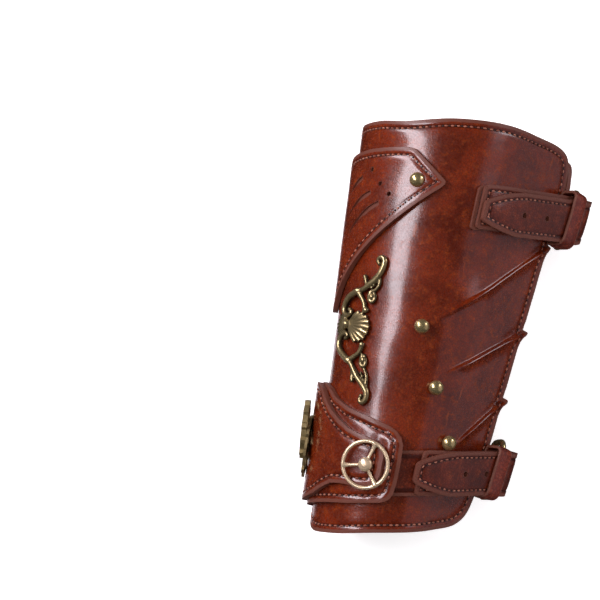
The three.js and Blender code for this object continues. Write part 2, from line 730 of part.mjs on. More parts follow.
const WHEEL = { angle: 75, y: -70.3, outer: 11, ringWidth: 1.7, hub: 2.9, thick: 1.8 };
const SPOKES = [72, 191, 306];
const OVERLAY_TOP = 2 * (FIT + LEATHER);
function spokedWheel() {
  const axes = flatAxes(WHEEL.angle, WHEEL.y, OVERLAY_TOP + FIT);
  const { outer, ringWidth, hub, thick } = WHEEL;
  const inner = outer - ringWidth;
  const rim = hoopOn(axes, inner, outer, 0.5, thick + 0.5, 28);
  const spokes = SPOKES.map((degrees) => {
    return spokeOn(axes, degrees, 1, inner + 0.5, 0.9, 1.7, 0.6, thick + 0.2);
  });
  const dome = [[hub, 0], [hub, thick + 0.6], [hub * 0.7, thick + 1.2], [0.3, thick + 1.5]];
  const boss = turned(dome, axes.origin, axes, 12);
  return join([rim, ...spokes, boss]);
}

const GEARS = [
  { y: -64, outer: 13, tooth: 1.4, teeth: 9, low: 0, thick: 1.2, holes: 4 },
  { y: -56.6, outer: 12, tooth: 1.5, teeth: 11, low: 1.5, thick: 2.4, holes: 5 },
];
const AXLE_HOLE = 4;
function gear({ y, outer, tooth, teeth, low, thick, holes }) {
  const axes = flatAxes(0, y, OVERLAY_TOP + FIT);
  const disc = hoopOn(axes, AXLE_HOLE / 2, outer, low, low + thick, teeth * 4, tooth);
  const bores = Array.from({ length: holes }, (_, k) => {
    const a = (k + 0.25) / holes * 2 * Math.PI;
    const at = onPlane(axes, outer * 0.56 * Math.cos(a), outer * 0.56 * Math.sin(a), 0);
    const size = outer * 0.22;
    return turned([[size, low - 1], [size, low + thick + 1]], at, axes, 5);
  });
  return cut(disc, bores);
}

// Finishes: colour, roughness, metalness.
const FINISH = {
  hide: [0x6b2c19, 0.35, 0],
  strapHide: [0x5e2717, 0.4, 0],
  keeperHide: [0x74301c, 0.5, 0],
  antique: [0x8a7443, 0.4, 1],
  bronze: [0x6e5a34, 0.45, 1],
  champagne: [0xcfae88, 0.3, 1],
};
const cuff = new THREE.Group();
cuff.name = 'leather_arm_cuff';
function add(name, geometry, finish) {
  const [color, roughness, metalness] = FINISH[finish];
  const piece = new THREE.Mesh(geometry, new THREE.MeshStandardMaterial({ color, roughness, metalness }));
  piece.name = name;
  cuff.add(piece);
}

const level = { step: 12, rows: 3, thick: LEATHER };
add('cuff_wall', cuffWall(), 'hide');
add('claw_patch', clawPatch(), 'hide');
add('patch_stud', studOn(DOME_STUD, 73.3, 55.5, LEATHER + 2 * FIT), 'antique');
add('wrist_patch', panel(bothSides(WRIST_HALF, WRIST_FAR), { ...level, rows: 5, base: wristBase }), 'hide');
const overlayBase = (angle, y) => LEATHER + FIT + wristBase(angle, y);
add('wrist_overlay', panel(bothSides(OVERLAY_HALF, OVERLAY_FAR), { ...level, base: overlayBase }), 'hide');
add('spoked_wheel', spokedWheel(), 'champagne');
add('gear_back', gear(GEARS[0]), 'antique');
add('gear_front', gear(GEARS[1]), 'antique');
add('filigree', join(SCROLLS.map(scroll)), 'bronze');
STUD_PLACES.forEach(({ angle, y }, k) => {
  add(`ball_stud_${k + 1}`, studOn(BALL_STUD, angle, y, FIT), 'antique');
});
Object.entries(STRAPS).forEach(([name, set]) => {
  add(`${name}_anchor_strap`, anchorStrap(set), 'strapHide');
  add(`${name}_tongue_strap`, tongueStrap(set), 'strapHide');
  add(`${name}_keeper`, keeper(set), 'keeperHide');
  add(`${name}_buckle_frame`, buckleFrame(set), 'antique');
  add(`${name}_buckle_roller`, buckleRoller(set), 'antique');
  add(`${name}_buckle_prong`, buckleProng(set), 'antique');
});

// The part's origin is the middle of the underside of its bounding box.
const box = new THREE.Box3().setFromObject(cuff);
const middle = box.getCenter(new THREE.Vector3());
cuff.children.forEach((piece) => piece.geometry.translate(-middle.x, -middle.y, -box.min.z));

export default cuff;
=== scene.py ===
# %% [markdown]
# A leather arm cuff, dressed for a picture.
# The solids of the part are loaded first. They are the frame: every new piece is laid over one of them.

# %% Load the frame
import math
import bpy
import numpy as np
from mathutils import Matrix, Quaternion, Vector, noise


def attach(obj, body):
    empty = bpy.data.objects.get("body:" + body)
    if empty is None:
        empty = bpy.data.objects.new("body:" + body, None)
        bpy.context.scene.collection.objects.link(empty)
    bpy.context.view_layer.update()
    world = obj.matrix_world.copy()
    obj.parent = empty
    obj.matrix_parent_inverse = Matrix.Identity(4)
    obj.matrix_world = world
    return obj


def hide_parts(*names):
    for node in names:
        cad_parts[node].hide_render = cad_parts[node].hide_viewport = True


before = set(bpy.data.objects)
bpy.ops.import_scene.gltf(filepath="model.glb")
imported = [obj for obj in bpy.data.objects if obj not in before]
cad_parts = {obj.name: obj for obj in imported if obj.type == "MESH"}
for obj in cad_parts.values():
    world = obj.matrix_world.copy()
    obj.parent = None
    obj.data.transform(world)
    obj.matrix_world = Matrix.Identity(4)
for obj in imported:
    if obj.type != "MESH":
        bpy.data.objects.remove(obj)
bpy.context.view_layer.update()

MM = 0.001

# %% [markdown]
# The cuff lies on its side, so the photographer looks down on it from above the floor.
# The camera is rolled a little and aimed to the left of the cuff, so the cuff leans and stands right of the
# middle of the picture. A long lens from 80 cm away shows the taper with little perspective.

# %% Camera
FRAME_PIXELS = 600
SENSOR_WIDTH = 36               # mm
PIXEL_SIZE = 0.46 * MM          # one pixel, measured at the cuff
CAMERA_DISTANCE = 0.8
CAMERA_PITCH = math.radians(10.12)
PICTURE_LEAN = math.radians(11.37)
AIM_POINT = Vector((-12.03, 5.56, 37.2)) * MM
AIM_PIXEL = (416.8, 325.0)
ARM_LINE = Vector((0, 1, 0.072)).normalized()

focal = CAMERA_DISTANCE / PIXEL_SIZE
toward = Vector((0, -math.sin(CAMERA_PITCH), math.cos(CAMERA_PITCH)))
upward = (ARM_LINE - ARM_LINE.dot(toward) * toward).normalized()
basis = Matrix((upward.cross(toward), upward, toward)).transposed()
lean = Matrix.Rotation(PICTURE_LEAN, 3, "Z")
middle_pixel = FRAME_PIXELS / 2
aside = (AIM_PIXEL[0] - middle_pixel) / focal
above = (middle_pixel - AIM_PIXEL[1]) / focal
sight = Vector((aside, above, -1)).normalized()
aim = sight.rotation_difference(Vector((0, 0, -1))).to_matrix()

camera = bpy.data.objects.new("camera", bpy.data.cameras.new("camera"))
bpy.context.collection.objects.link(camera)
camera.data.sensor_width = SENSOR_WIDTH
camera.data.lens = SENSOR_WIDTH * focal / FRAME_PIXELS
camera.matrix_world = Matrix.Translation(AIM_POINT + CAMERA_DISTANCE * toward) @ (basis @ lean @ aim).to_4x4()
bpy.context.scene.camera = camera
print("lens, mm:", round(camera.data.lens, 1))

# %% [markdown]
# Waxed leather shows its shape by reflections, so the light is planned like a product photograph.
# A long strip box on the left is spun until it lies along the arm and draws the bright line there. A wide
# dim wall of light on the right gives the strap side its sheen, a small strip lights the upper flap, and a
# small box the folds. A soft box overhead and the pale floor, which glows a little, fill the rest. Both
# are kept out of reflections, because they would turn the dark leather grey. A faint card on the floor,
# unseen by the camera, lights the lower edge on the left.

# %% Floor and lights
def lamp(name, place_at, look_at, size, watts, tint, spin=0.0):
    data = bpy.data.lights.new(name, "AREA")
    data.shape = "RECTANGLE"
    data.size, data.size_y = size
    data.energy = watts
    data.color = tint
    box = bpy.data.objects.new(name, data)
    bpy.context.collection.objects.link(box)
    box.location = place_at
    box.rotation_mode = "QUATERNION"
    turn = (Vector(look_at) - Vector(place_at)).to_track_quat("-Z", "Y")
    box.rotation_quaternion = turn @ Quaternion((0, 0, 1), math.radians(spin))
    return box


lamp("left_strip", (-0.68, 0.20, 0.59), (0, 0.05, 0.05), (0.95, 0.25), 9.7, (1.0, 0.93, 1.0), 50)
lamp("right_wall", (0.94, 0.1, 0.36), (0, 0, 0.03), (1.4, 1.2), 1.9, (1.0, 0.88, 1.0))
lamp("right_strip", (0.79, 0.40, 0.65), (0, 0.25, 0.03), (0.5, 0.3), 0.62, (1.0, 0.90, 1.0))
lamp("fold_box", (0.80, 0.66, 0.42), (0, 0, 0.05), (0.36, 0.36), 2.4, (1.0, 0.93, 1.0))
overhead = lamp("overhead", (0.1, -0.1, 1.5), (0, 0, 0), (1.6, 1.6), 14, (1.0, 1.0, 1.0))
overhead.visible_glossy = False
card = lamp("left_card", (-0.06, 0.01, 0.001), (-0.06, 0.01, 0.1), (0.014, 0.2), 0.009, (1.0, 0.93, 1.0))
card.visible_camera = False

bpy.ops.object.select_all(action="DESELECT")
bpy.ops.mesh.primitive_plane_add(size=8)
floor = bpy.context.object
floor.name = "floor"
paper = bpy.data.materials.new("white_paper")
paper.use_nodes = True
paper_shader = paper.node_tree.nodes["Principled BSDF"]
paper_shader.inputs["Base Color"].default_value = (0.93, 0.93, 0.93, 1)
paper_shader.inputs["Roughness"].default_value = 0.9
paper_shader.inputs["Emission Color"].default_value = (1, 1, 1, 1)
paper_shader.inputs["Emission Strength"].default_value = 0.6
floor.data.materials.append(paper)
floor.visible_glossy = False

world = bpy.data.worlds.new("studio")
bpy.context.scene.world = world
world.use_nodes = True
world.node_tree.nodes["Background"].inputs["Color"].default_value = (0.95, 0.96, 1.0, 1)
world.node_tree.nodes["Background"].inputs["Strength"].default_value = 0.012
bpy.context.scene.view_settings.view_transform = "Standard"

# %% [markdown]
# The cuff is a cone of leather with two straight flaps that meet at a seam. A place on it is named by
# an angle round the arm, a length along it and a lift above the leather, in millimetres. The outer line
# of the arm is angle 0, positive angles go over the top. One function turns such a place into a point,
# and every piece is bent with it, so that patches, straps and metal all follow the same surface.

# %% The shape of the arm
DEG = math.pi / 180
LEATHER, WALL, PLY, FIT = 2.3, 2.4, 1.7, 0.3
MID_RADIUS, TAPER, FLAP_ANGLE = 36.6, 0.072, 138
SEAM_GAP, FAR_OVERHANG, FLAT_DEPTH = 3.0, 3.4, 2.0
SWAY_LENGTH, SWAY_SCALE, SWAY_FINER = 34, 1.4, 2.7
SWAY_BROAD, SWAY_FINE = 0.3, 0.12
REST_LIFT = LEATHER + FIT
MIDDLE = Vector((12.03, -5.557, 0))
FLAP_LEAN = (FLAP_ANGLE - 90) * DEG
POINT_ANGLE = FLAP_ANGLE + 1 / math.tan(FLAP_LEAN) / DEG


def lerp(a, b, t):
    return a + (b - a) * t


def smooth(t):
    u = min(1, max(0, t))
    return u * u * (3 - 2 * u)


def read(table, key, column=1):
    keys = [row[0] for row in table]
    return float(np.interp(key, keys, [row[column] for row in table]))


def ease(start, stop, start_slope, stop_slope, run, t):
    """A smooth curve from one value to the next, with given slopes at its ends."""
    ends = start * (1 + 2 * t) * (1 - t) ** 2 + stop * t * t * (3 - 2 * t)
    return ends + start_slope * run * t * (1 - t) ** 2 + stop_slope * run * t * t * (t - 1)


def read_curve(table, key, column=1):
    """Reads a table along a smooth curve through its rows."""
    keys = [row[0] for row in table]
    values = [row[column] for row in table]
    k = min(max(int(np.searchsorted(keys, key)) - 1, 0), len(keys) - 2)

    def slope(i):
        a, b = max(i - 1, 0), min(i + 1, len(keys) - 1)
        return (values[b] - values[a]) / (keys[b] - keys[a])
    run = keys[k + 1] - keys[k]
    t = min(1, max(0, (key - keys[k]) / run))
    return ease(values[k], values[k + 1], slope(k), slope(k + 1), run, t)


def radius(y):
    return MID_RADIUS + TAPER * y


def sway(angle, y):
    """Soft unevenness of worn leather. Every piece follows it, so the gaps between pieces stay."""
    spot = Vector((math.cos(angle * DEG), math.sin(angle * DEG), y / SWAY_LENGTH)) * SWAY_SCALE
    return SWAY_BROAD * noise.noise(spot) + SWAY_FINE * noise.noise(spot * SWAY_FINER)


def place(angle, y, lift=0.0):
    r = radius(y)
    lift = lift + sway(angle, y)
    turn = min(abs(angle), FLAP_ANGLE)
    run = r * (abs(angle) - turn) * DEG
    t = (turn - 90) * DEG
    x = (r + lift) * math.sin(t) + run * math.cos(t)
    up = ((r + lift) * math.cos(t) - run * math.sin(t)) * (-1 if angle < 0 else 1)
    z = max(REST_LIFT + r - FLAT_DEPTH + up, REST_LIFT - lift, 0.02)
    return Vector((x, y, z)) - MIDDLE


def axes_at(angle, y, lift=0.0):
    around = (place(angle + 1, y, lift) - place(angle - 1, y, lift)).normalized()
    along = (place(angle, y + 1, lift) - place(angle, y - 1, lift)).normalized()
    out = around.cross(along).normalized()
    along = out.cross(around)
    spot = place(angle, y, lift)
    return Matrix((around, along, out)).transposed().to_4x4(), spot


print("seam point at", round(POINT_ANGLE, 1), "degrees")

# %% [markdown]
# Leather is cut flat. A cone unrolls without stretching, so each patch has a true flat pattern, and on it
# the distance to the cut edge can be measured. That distance does three jobs: it sinks the stitching
# groove, it places the stitches, and the material reads it to colour the burnished edge.

# %% Flat patterns
APEX = MID_RADIUS / TAPER
SLANT = math.sqrt(1 + TAPER * TAPER)
CONE = TAPER / SLANT


def unroll(angle, y):
    rho, phi = (y + APEX) * SLANT, angle * DEG * CONE
    return rho * math.sin(phi), rho * math.cos(phi)


def reroll(flat_x, flat_y):
    phi = math.atan2(flat_x, flat_y)
    return phi / DEG / CONE, math.hypot(flat_x, flat_y) / SLANT - APEX


EDGE_ROWS = [0, 1.25, 1.9, 2.6, 3.3, 4.0, 5.2]
NARROW_CUT = 16                 # under this width the rows along the edges move together


class Pattern:
    """A flat cut: columns run along it, edges(column) gives its two sides, spot() bends it into place."""

    def __init__(self, columns, edges, spot, flat=unroll, back=reroll, inner_rows=20, lift=None):
        self.columns, self.edges, self.spot = columns, edges, spot
        self.flat, self.back, self.inner_rows = flat, back, inner_rows
        self.lift = lift or (lambda s, w: 0.0)

    def rows(self, s):
        low, high = self.edges(s)
        squeeze = min(1, (high - low) / NARROW_CUT)
        lows = [low + d * squeeze for d in EDGE_ROWS]
        highs = [high - d * squeeze for d in reversed(EDGE_ROWS)]
        count = self.inner_rows
        return lows + [lerp(lows[-1], highs[0], k / count) for k in range(1, count)] + highs

    def outline(self):
        lows = [(s, self.edges(s)[0]) for s in self.columns]
        highs = [(s, self.edges(s)[1]) for s in self.columns]
        start = [(self.columns[0], lerp(highs[0][1], lows[0][1], k / 8)) for k in range(1, 8)]
        stop = [(self.columns[-1], lerp(lows[-1][1], highs[-1][1], k / 8)) for k in range(1, 8)]
        return np.array([self.flat(*p) for p in lows + stop + highs[::-1] + start])


def edge_distance(points, outline):
    """Distance of each flat point from the nearest cut edge."""
    best = np.full(len(points), 1e9)
    for a, b in zip(outline, np.roll(outline, -1, axis=0)):
        run = b - a
        length = run @ run
        if length < 1e-9:
            continue
        t = np.clip((points - a) @ run / length, 0, 1)
        best = np.minimum(best, np.linalg.norm(points - a - t[:, None] * run, axis=1))
    return best


def spaced(stops, step):
    """Columns at every stop and evenly between the stops."""
    out = [stops[0]]
    for a, b in zip(stops, stops[1:]):
        count = max(1, math.ceil((b - a) / step))
        out += [lerp(a, b, k / count) for k in range(1, count + 1)]
    return out


print("the cone unrolls round a point", round(APEX), "mm below the middle")

# %% [markdown]
# One maker for every leather piece. A grid primitive is added with as many squares as the pattern has
# columns and rows, its corners are moved onto the bent surface, Solidify gives the leather its
# thickness, and Bevel rounds the cut edges as a burnishing tool would. Modelling each patch from its own
# primitive would take as many recipes as patches, and none would keep the stitch line parallel to the edge.

# %% Leather maker
GROOVE = [(0, 0), (1.25, 0.02), (1.9, 0.1), (2.6, -0.1), (3.3, -0.42), (4.0, -0.14), (5.2, 0.03), (8, 0)]


def pick(obj):
    bpy.ops.object.select_all(action="DESELECT")
    obj.select_set(True)
    bpy.context.view_layer.objects.active = obj


def apply_modifiers(obj):
    pick(obj)
    for modifier in list(obj.modifiers):
        bpy.ops.object.modifier_apply(modifier=modifier.name)


def face_outwards(obj):
    pick(obj)
    bpy.ops.object.mode_set(mode="EDIT")
    bpy.ops.mesh.select_all(action="SELECT")
    bpy.ops.mesh.normals_make_consistent(inside=False)
    bpy.ops.object.mode_set(mode="OBJECT")


def soften(obj, degrees=40):
    pick(obj)
    bpy.ops.object.shade_smooth_by_angle(angle=math.radians(degrees))


def leather_sheet(name, pattern, thick, groove=GROOVE, round_edge=1.0, closed=False):
    columns = pattern.columns
    rows = [pattern.rows(s) for s in columns]
    across, along = len(columns) - 1, len(rows[0]) - 1
    bpy.ops.object.select_all(action="DESELECT")
    bpy.ops.mesh.primitive_grid_add(x_subdivisions=across, y_subdivisions=along, size=2)
    obj = bpy.context.object
    obj.name = obj.data.name = name
    cells = [(round((v.co.x + 1) / 2 * across), round((v.co.y + 1) / 2 * along)) for v in obj.data.vertices]
    spots = [(columns[i], rows[i][j]) for i, j in cells]
    flat = np.array([pattern.flat(*p) for p in spots])
    if closed:
        distance = np.array([min(w - rows[i][0], rows[i][-1] - w) for (i, _), (_, w) in zip(cells, spots)])
    else:
        distance = edge_distance(flat, pattern.outline())
    sink = np.interp(distance, [g[0] for g in groove], [g[1] for g in groove])
    for v, (s, w), dip in zip(obj.data.vertices, spots, sink):
        v.co = pattern.spot(s, w, pattern.lift(s, w) + dip) * MM
    attribute = obj.data.attributes.new("edge_mm", "FLOAT", "POINT")
    attribute.data.foreach_set("value", distance)
    s, w = spots[len(spots) // 2 + along // 3]
    outward = pattern.spot(s, w, 1.5) - pattern.spot(s, w, 0.5)
    obj.data.update()
    nearest = min(obj.data.polygons, key=lambda p: (p.center - pattern.spot(s, w, 0) * MM).length)
    pick(obj)
    bpy.ops.object.mode_set(mode="EDIT")
    bpy.ops.mesh.select_all(action="SELECT")
    if nearest.normal.dot(outward) < 0:
        bpy.ops.mesh.flip_normals()
    if closed:
        bpy.ops.mesh.remove_doubles(threshold=0.02 * MM)
    bpy.ops.object.mode_set(mode="OBJECT")
    solidify = obj.modifiers.new("thickness", "SOLIDIFY")
    solidify.thickness = thick * MM
    solidify.offset = -1
    solidify.use_quality_normals = True
    solidify.material_offset = 1
    bevel = obj.modifiers.new("burnished", "BEVEL")
    bevel.width = round_edge * MM
    bevel.segments = 3
    bevel.limit_method = "ANGLE"
    bevel.angle_limit = math.radians(50)
    apply_modifiers(obj)
    soften(obj)
    print(name, "faces:", len(obj.data.polygons))
    return obj


def dress(obj, slot, *nodes):
    """The piece rides with the part and stands for its solids."""
    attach(obj, "root")
    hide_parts(*nodes)


pieces = {}

# %% [markdown]
# The wall is the big tapered panel. Its flap ends are pinched into three folds that run from a stud to
# the seam, and above each fold the leather swells in a broad soft flank. The rows of its grid follow the
# folds, because a crease that crosses the squares of a grid would come out as a row of steps.

# %% The wall
SEAM = POINT_ANGLE - SEAM_GAP / MID_RADIUS / DEG
WALL_EDGES = [
    (0, -96.5, 84.5), (11, -99.5, 84), (22, -101.3, 83.4), (38, -101.8, 82.7), (60, -101, 82),
    (90, -98, 85.5), (120, -94.5, 88.5), (150, -90, 90), (168, -86.5, 90.5), (178, -82, 88.5),
    (182.5, -77, 84), (SEAM, -70, 76),
]
FAR_TRIM = 5                    # the hidden half is cut a little shorter at the wrist
OVERHANG_Y, OVERHANG_ANGLE = 64, -150
FOLDS = [
    {"from": 141, "y": -54.2, "climb": 0.63, "height": 3.1, "flank": 0.5},
    {"from": 116, "y": -25.2, "climb": 0.445, "height": 3.1, "flank": 0.8},
    {"from": 98, "y": -5.4, "climb": 0.59, "height": 1.9, "flank": 1.7},
]
FOLD_PROFILE = [
    (-7, 0), (-4.4, 0.14), (-2.5, 0.42), (-1.5, 0.74), (-0.7, 0.95), (0, 1), (0.6, 0.8), (1.0, 0.42),
    (1.4, 0), (1.8, -0.16), (2.5, -0.2), (4, -0.09), (6, 0),
]
FLANK = [(-3, 0), (-1.5, 0.3), (0, 1), (1.4, 0.86), (4, 0.6), (6, 0.42), (10, 0.14), (15, 0)]


def crest(fold, angle):
    return fold["y"] + fold["climb"] * max(0, angle - fold["from"])


def fold_lift(angle, y):
    total = 0
    for fold in FOLDS:
        share = (angle - fold["from"]) / (SEAM - fold["from"])
        grow = fold["height"] * (0.4 * smooth(share / 0.3) + 0.6 * smooth((share - 0.7) / 0.3))
        above = y - crest(fold, angle)
        total += grow * read(FOLD_PROFILE, above)
        swell = fold["flank"] * smooth(share / 0.3) * (1 - smooth((share - 0.6) / 0.4))
        total += swell * read(FLANK, above)
    return total


def wall_spot(angle, y, lift):
    share = max(0, (abs(angle) / SEAM - 0.8) / 0.2)
    shift = math.copysign(POINT_ANGLE - SEAM_GAP / radius(y) / DEG - SEAM, angle) * share
    corner = smooth((y - OVERHANG_Y) / 10) * smooth((OVERHANG_ANGLE - angle) / 30)
    return place(angle + shift - FAR_OVERHANG / radius(y) / DEG * corner, y, lift)


class WallPattern(Pattern):
    def rows(self, s):
        low, high = self.edges(s)
        stops = [low + d for d in EDGE_ROWS]
        for fold in FOLDS:
            stops += [crest(fold, s) + d for d, _ in FOLD_PROFILE]
        stops += [high - d for d in reversed(EDGE_ROWS)]
        wide = {len(EDGE_ROWS) - 1: 18, len(stops) - len(EDGE_ROWS) - 1: 24}
        for k in range(1, len(FOLDS)):
            wide[len(EDGE_ROWS) - 1 + k * len(FOLD_PROFILE)] = 8
        out = [stops[0]]
        for k, (a, b) in enumerate(zip(stops, stops[1:])):
            count = wide.get(k, 1)
            out += [lerp(a, b, j / count) for j in range(1, count + 1)]
        for k in range(1, len(out)):
            out[k] = max(out[k], out[k - 1] + 0.05)
        return out


def wall_edges(angle):
    low = read_curve(WALL_EDGES, abs(angle), 1) + FAR_TRIM * smooth(-angle / 40)
    return low, read_curve(WALL_EDGES, abs(angle), 2)


seam_columns = [SEAM - d / MID_RADIUS / DEG for d in EDGE_ROWS]
half_round = sorted(set([0.0] + spaced([0, 96, FLAP_ANGLE, seam_columns[-1]], 2.2) + seam_columns))
wall_columns = [-a for a in reversed(half_round[1:])] + half_round
wall = WallPattern(wall_columns, wall_edges, wall_spot, lift=fold_lift)
pieces["wall"] = leather_sheet("wall_leather", wall, WALL)
dress(pieces["wall"], "hide", "cuff_wall")

# %% [markdown]
# The claw patch is the pointed panel near the elbow. The wrist carries a broad patch and a waisted one on
# top of it. They could be flat outlines that Shrinkwrap presses on the wall, but their edges would stretch,
# so they are cut from flat patterns as the wall is. Only one half of each outline is written down, because
# the far half mirrors it as far as the floor.

# %% Patches
CLAW_HALF = [(0, -2, 68.5), (4, -1.4, 68.4), (66, 39, 69.5), (69, 41, 69), (88, 53.6, 58), (90, 55.4, 56.8)]
WRIST_HALF = [
    (0, -90, -34), (14, -89.7, -35.2), (26, -89.3, -38), (36, -89, -42.3), (51, -88.4, -46.6),
    (64, -87.8, -48.8), (76, -86.6, -50.5), (86, -85.6, -52), (91, -84.8, -53.4), (94.5, -83.4, -55.8),
    (96.8, -81, -59), (97.7, -76, -66),
]
OVERLAY_HALF = [
    (0, -88.4, -34.6), (12, -88, -35.6), (22, -86.9, -38.8), (30, -85.6, -43.7), (39, -83, -48.6),
    (48.5, -80.4, -52.8), (57, -80, -55.9), (65, -80.2, -57.7), (78, -79.6, -59.3), (84, -77.4, -62),
    (85.6, -74, -66),
]
PATCH_STUD = (73.3, 55.5)
CLAW_GAP = FIT + 0.1
DIMPLE_DEPTH, DIMPLE_RADIUS = 0.35, 4.2
STRAP_UNDER_ANGLE, STRAP_UNDER_TURN = 78, 14
STRAP_UNDER_Y, STRAP_UNDER_RUN = -53, 5


def wrist_base(angle, y):
    """The wrist patches rise where the lower strap runs under them."""
    over = smooth((angle - STRAP_UNDER_ANGLE) / STRAP_UNDER_TURN)
    return FIT + (LEATHER + FIT) * over * smooth((STRAP_UNDER_Y - y) / STRAP_UNDER_RUN)


def claw_base(angle, y):
    """The claw patch is pulled down a little round its stud."""
    reach = math.hypot((angle - PATCH_STUD[0]) * DEG * radius(y), y - PATCH_STUD[1])
    return CLAW_GAP - DIMPLE_DEPTH * math.exp(-((reach / DIMPLE_RADIUS) ** 2))


def overlay_base(angle, y):
    return LEATHER + FIT + wrist_base(angle, y)


def patch(half, far_limit, base, inner_rows):
    stops = [-far_limit] + [-row[0] for row in reversed(half) if 0 < row[0] < far_limit]
    stops += [row[0] for row in half]
    ends = [d / MID_RADIUS / DEG for d in EDGE_ROWS[1:]]
    stops += [stops[0] + d for d in ends] + [stops[-1] - d for d in ends]
    columns = spaced(sorted(set(round(s, 3) for s in stops)), 1.9)
    return Pattern(
        columns,
        lambda s: (read(half, abs(s), 1), read(half, abs(s), 2)),
        place,
        inner_rows=inner_rows,
        lift=lambda s, w: base(s, w) + LEATHER,
    )


claw = patch(CLAW_HALF, 90, claw_base, 30)
wrist = patch(WRIST_HALF, 92, wrist_base, 22)
overlay = patch(OVERLAY_HALF, 58, overlay_base, 18)
pieces["claw"] = leather_sheet("claw_patch_leather", claw, LEATHER)
pieces["wrist"] = leather_sheet("wrist_patch_leather", wrist, LEATHER)
pieces["overlay"] = leather_sheet("wrist_overlay_leather", overlay, LEATHER)
dress(pieces["claw"], "hide", "claw_patch")
dress(pieces["wrist"], "hide", "wrist_patch")
dress(pieces["overlay"], "hide", "wrist_overlay")

# %% [markdown]
# The claw patch is pierced with three holes and three curved slashes. The cuts are real: a round punch
# stands on each hole, a thin blade is bent along each slash, and a Boolean takes them away. A dark mark in
# the material would be quicker, but it would show no depth. The walls of the cuts then get a slot of their
# own: raw leather, made paler than it is so that it also paints a highlight along the lips of the cuts.

# %% Holes and slashes
HOLE_DIAMETER = 2.1
CUTTER_DEPTH = 7
SLASH_HALF, SLASH_TIP, SLASH_SLANT = 1.05, 0.08, 0.55
STEEP_SHARE, INNER_CUTS = 0.6, 4
CLAW_HOLES = [(40.2, 59.7), (48.8, 53), (56.5, 48.4)]
CLAW_SLASHES = [
    ((32, 56.3), (22, 54), (15, 49.4)),
    ((42, 49), (28, 46), (16.5, 38.5)),
    ((50, 44), (33, 39), (19, 28.4)),
]


def punch(angle, y, lift, diameter=HOLE_DIAMETER):
    """A round cutter standing on the surface."""
    bpy.ops.object.select_all(action="DESELECT")
    bpy.ops.mesh.primitive_cylinder_add(vertices=20, radius=diameter / 2 * MM, depth=CUTTER_DEPTH * MM)
    cutter = bpy.context.object
    turn, spot = axes_at(angle, y, lift)
    cutter.data.transform(Matrix.Translation(spot * MM) @ turn)
    return cutter


def blade(points):
    """A thin curved cutter, wide at one end and pointed at the other."""
    (a0, y0), (a1, y1), (a2, y2) = points
    steps = 14
    bpy.ops.object.select_all(action="DESELECT")
    bpy.ops.mesh.primitive_grid_add(x_subdivisions=steps, y_subdivisions=1, size=2)
    cutter = bpy.context.object
    for v in cutter.data.vertices:
        t = (v.co.x + 1) / 2
        angle = (1 - t) ** 2 * a0 + 2 * t * (1 - t) * a1 + t * t * a2
        y = (1 - t) ** 2 * y0 + 2 * t * (1 - t) * y1 + t * t * y2
        half = SLASH_HALF * math.sin(math.pi * min(1, 0.12 + t) ** 0.7) * (1 - 0.35 * t) + SLASH_TIP
        side = v.co.y * half
        v.co = place(angle - side * SLASH_SLANT / radius(y) / DEG, y + side, LEATHER + 3) * MM
    thick = cutter.modifiers.new("depth", "SOLIDIFY")
    thick.thickness = CUTTER_DEPTH * MM
    thick.offset = 0
    apply_modifiers(cutter)
    face_outwards(cutter)
    return cutter


def carve(obj, cutters):
    for cutter in cutters:
        boolean = obj.modifiers.new("cut", "BOOLEAN")
        boolean.object = cutter
        boolean.operation = "DIFFERENCE"
        boolean.solver = "MANIFOLD"
    apply_modifiers(obj)
    for cutter in cutters:
        bpy.data.objects.remove(cutter)
    soften(obj)


cutters = [punch(angle, y, LEATHER) for angle, y in CLAW_HOLES] + [blade(p) for p in CLAW_SLASHES]
carve(pieces["claw"], cutters)
depth = [item.value for item in pieces["claw"].data.attributes["edge_mm"].data]
# The steep walls of the cuts take the third slot, raw leather paled into a painted highlight.
for face in pieces["claw"].data.polygons:
    y = face.center.y / MM + MIDDLE.y
    axis = Vector((-MIDDLE.x, face.center.y / MM, REST_LIFT + radius(y) - FLAT_DEPTH)) * MM
    steep = abs(face.normal.dot((face.center - axis).normalized())) < STEEP_SHARE
    if steep and depth[face.vertices[0]] > INNER_CUTS:
        face.material_index = 2
print("claw patch after cutting:", len(pieces["claw"].data.polygons), "faces")

# %% [markdown]
# Each fastening is two straps. The anchor strap is folded round the heel bar of a buckle, so it lies in
# two plies. The tongue strap comes up from the far side, goes through the buckle and lies on the plies,
# with its pointed end towards the top. Past the seam both straps leave the wall and bend down to the
# buckle, so this stretch has a place function of its own.

# %% Course of the straps
STRAP_WIDTH = 20
STRAPS = {
    "upper": {"y": 49, "climb": 0.155, "drop": 2.0, "anchor_end": 110.5, "fold_end": 113, "tip": 114,
              "root": 100, "holes": (142, 163)},
    "lower": {"y": -69.3, "climb": 0.125, "drop": 0, "anchor_end": 92, "fold_end": 113, "tip": 108.5,
              "root": 95, "holes": (150, 174)},
}
LOW_PLY, HIGH_PLY = (FIT + PLY / 2, 2.9), (2 * FIT + 1.5 * PLY, 4.9)
TONGUE_TIP_LIFT, TONGUE_LIFT = 5.6, 7.1
BEND_START, BEND_DEPTH, BEND_TURN, BEND_RADIUS = 3, -1.5, 60 * DEG, 6.5
BEND_LENGTH = BEND_RADIUS * BEND_TURN
HEEL_AT, HEEL_LIFT = BEND_START + BEND_LENGTH + 2.6, 3.9
RISE_SLOPE, RISE_FROM = 0.36, 4
FRAME_REACH, WIRE, ROLLER, PRONG = 12.5, 3, 4.4, 2.6
FOLD_ROUND = WIRE / 2 + FIT + PLY / 2


def middle_at(strap, angle):
    return strap["y"] + strap["climb"] * (abs(angle) - 110)


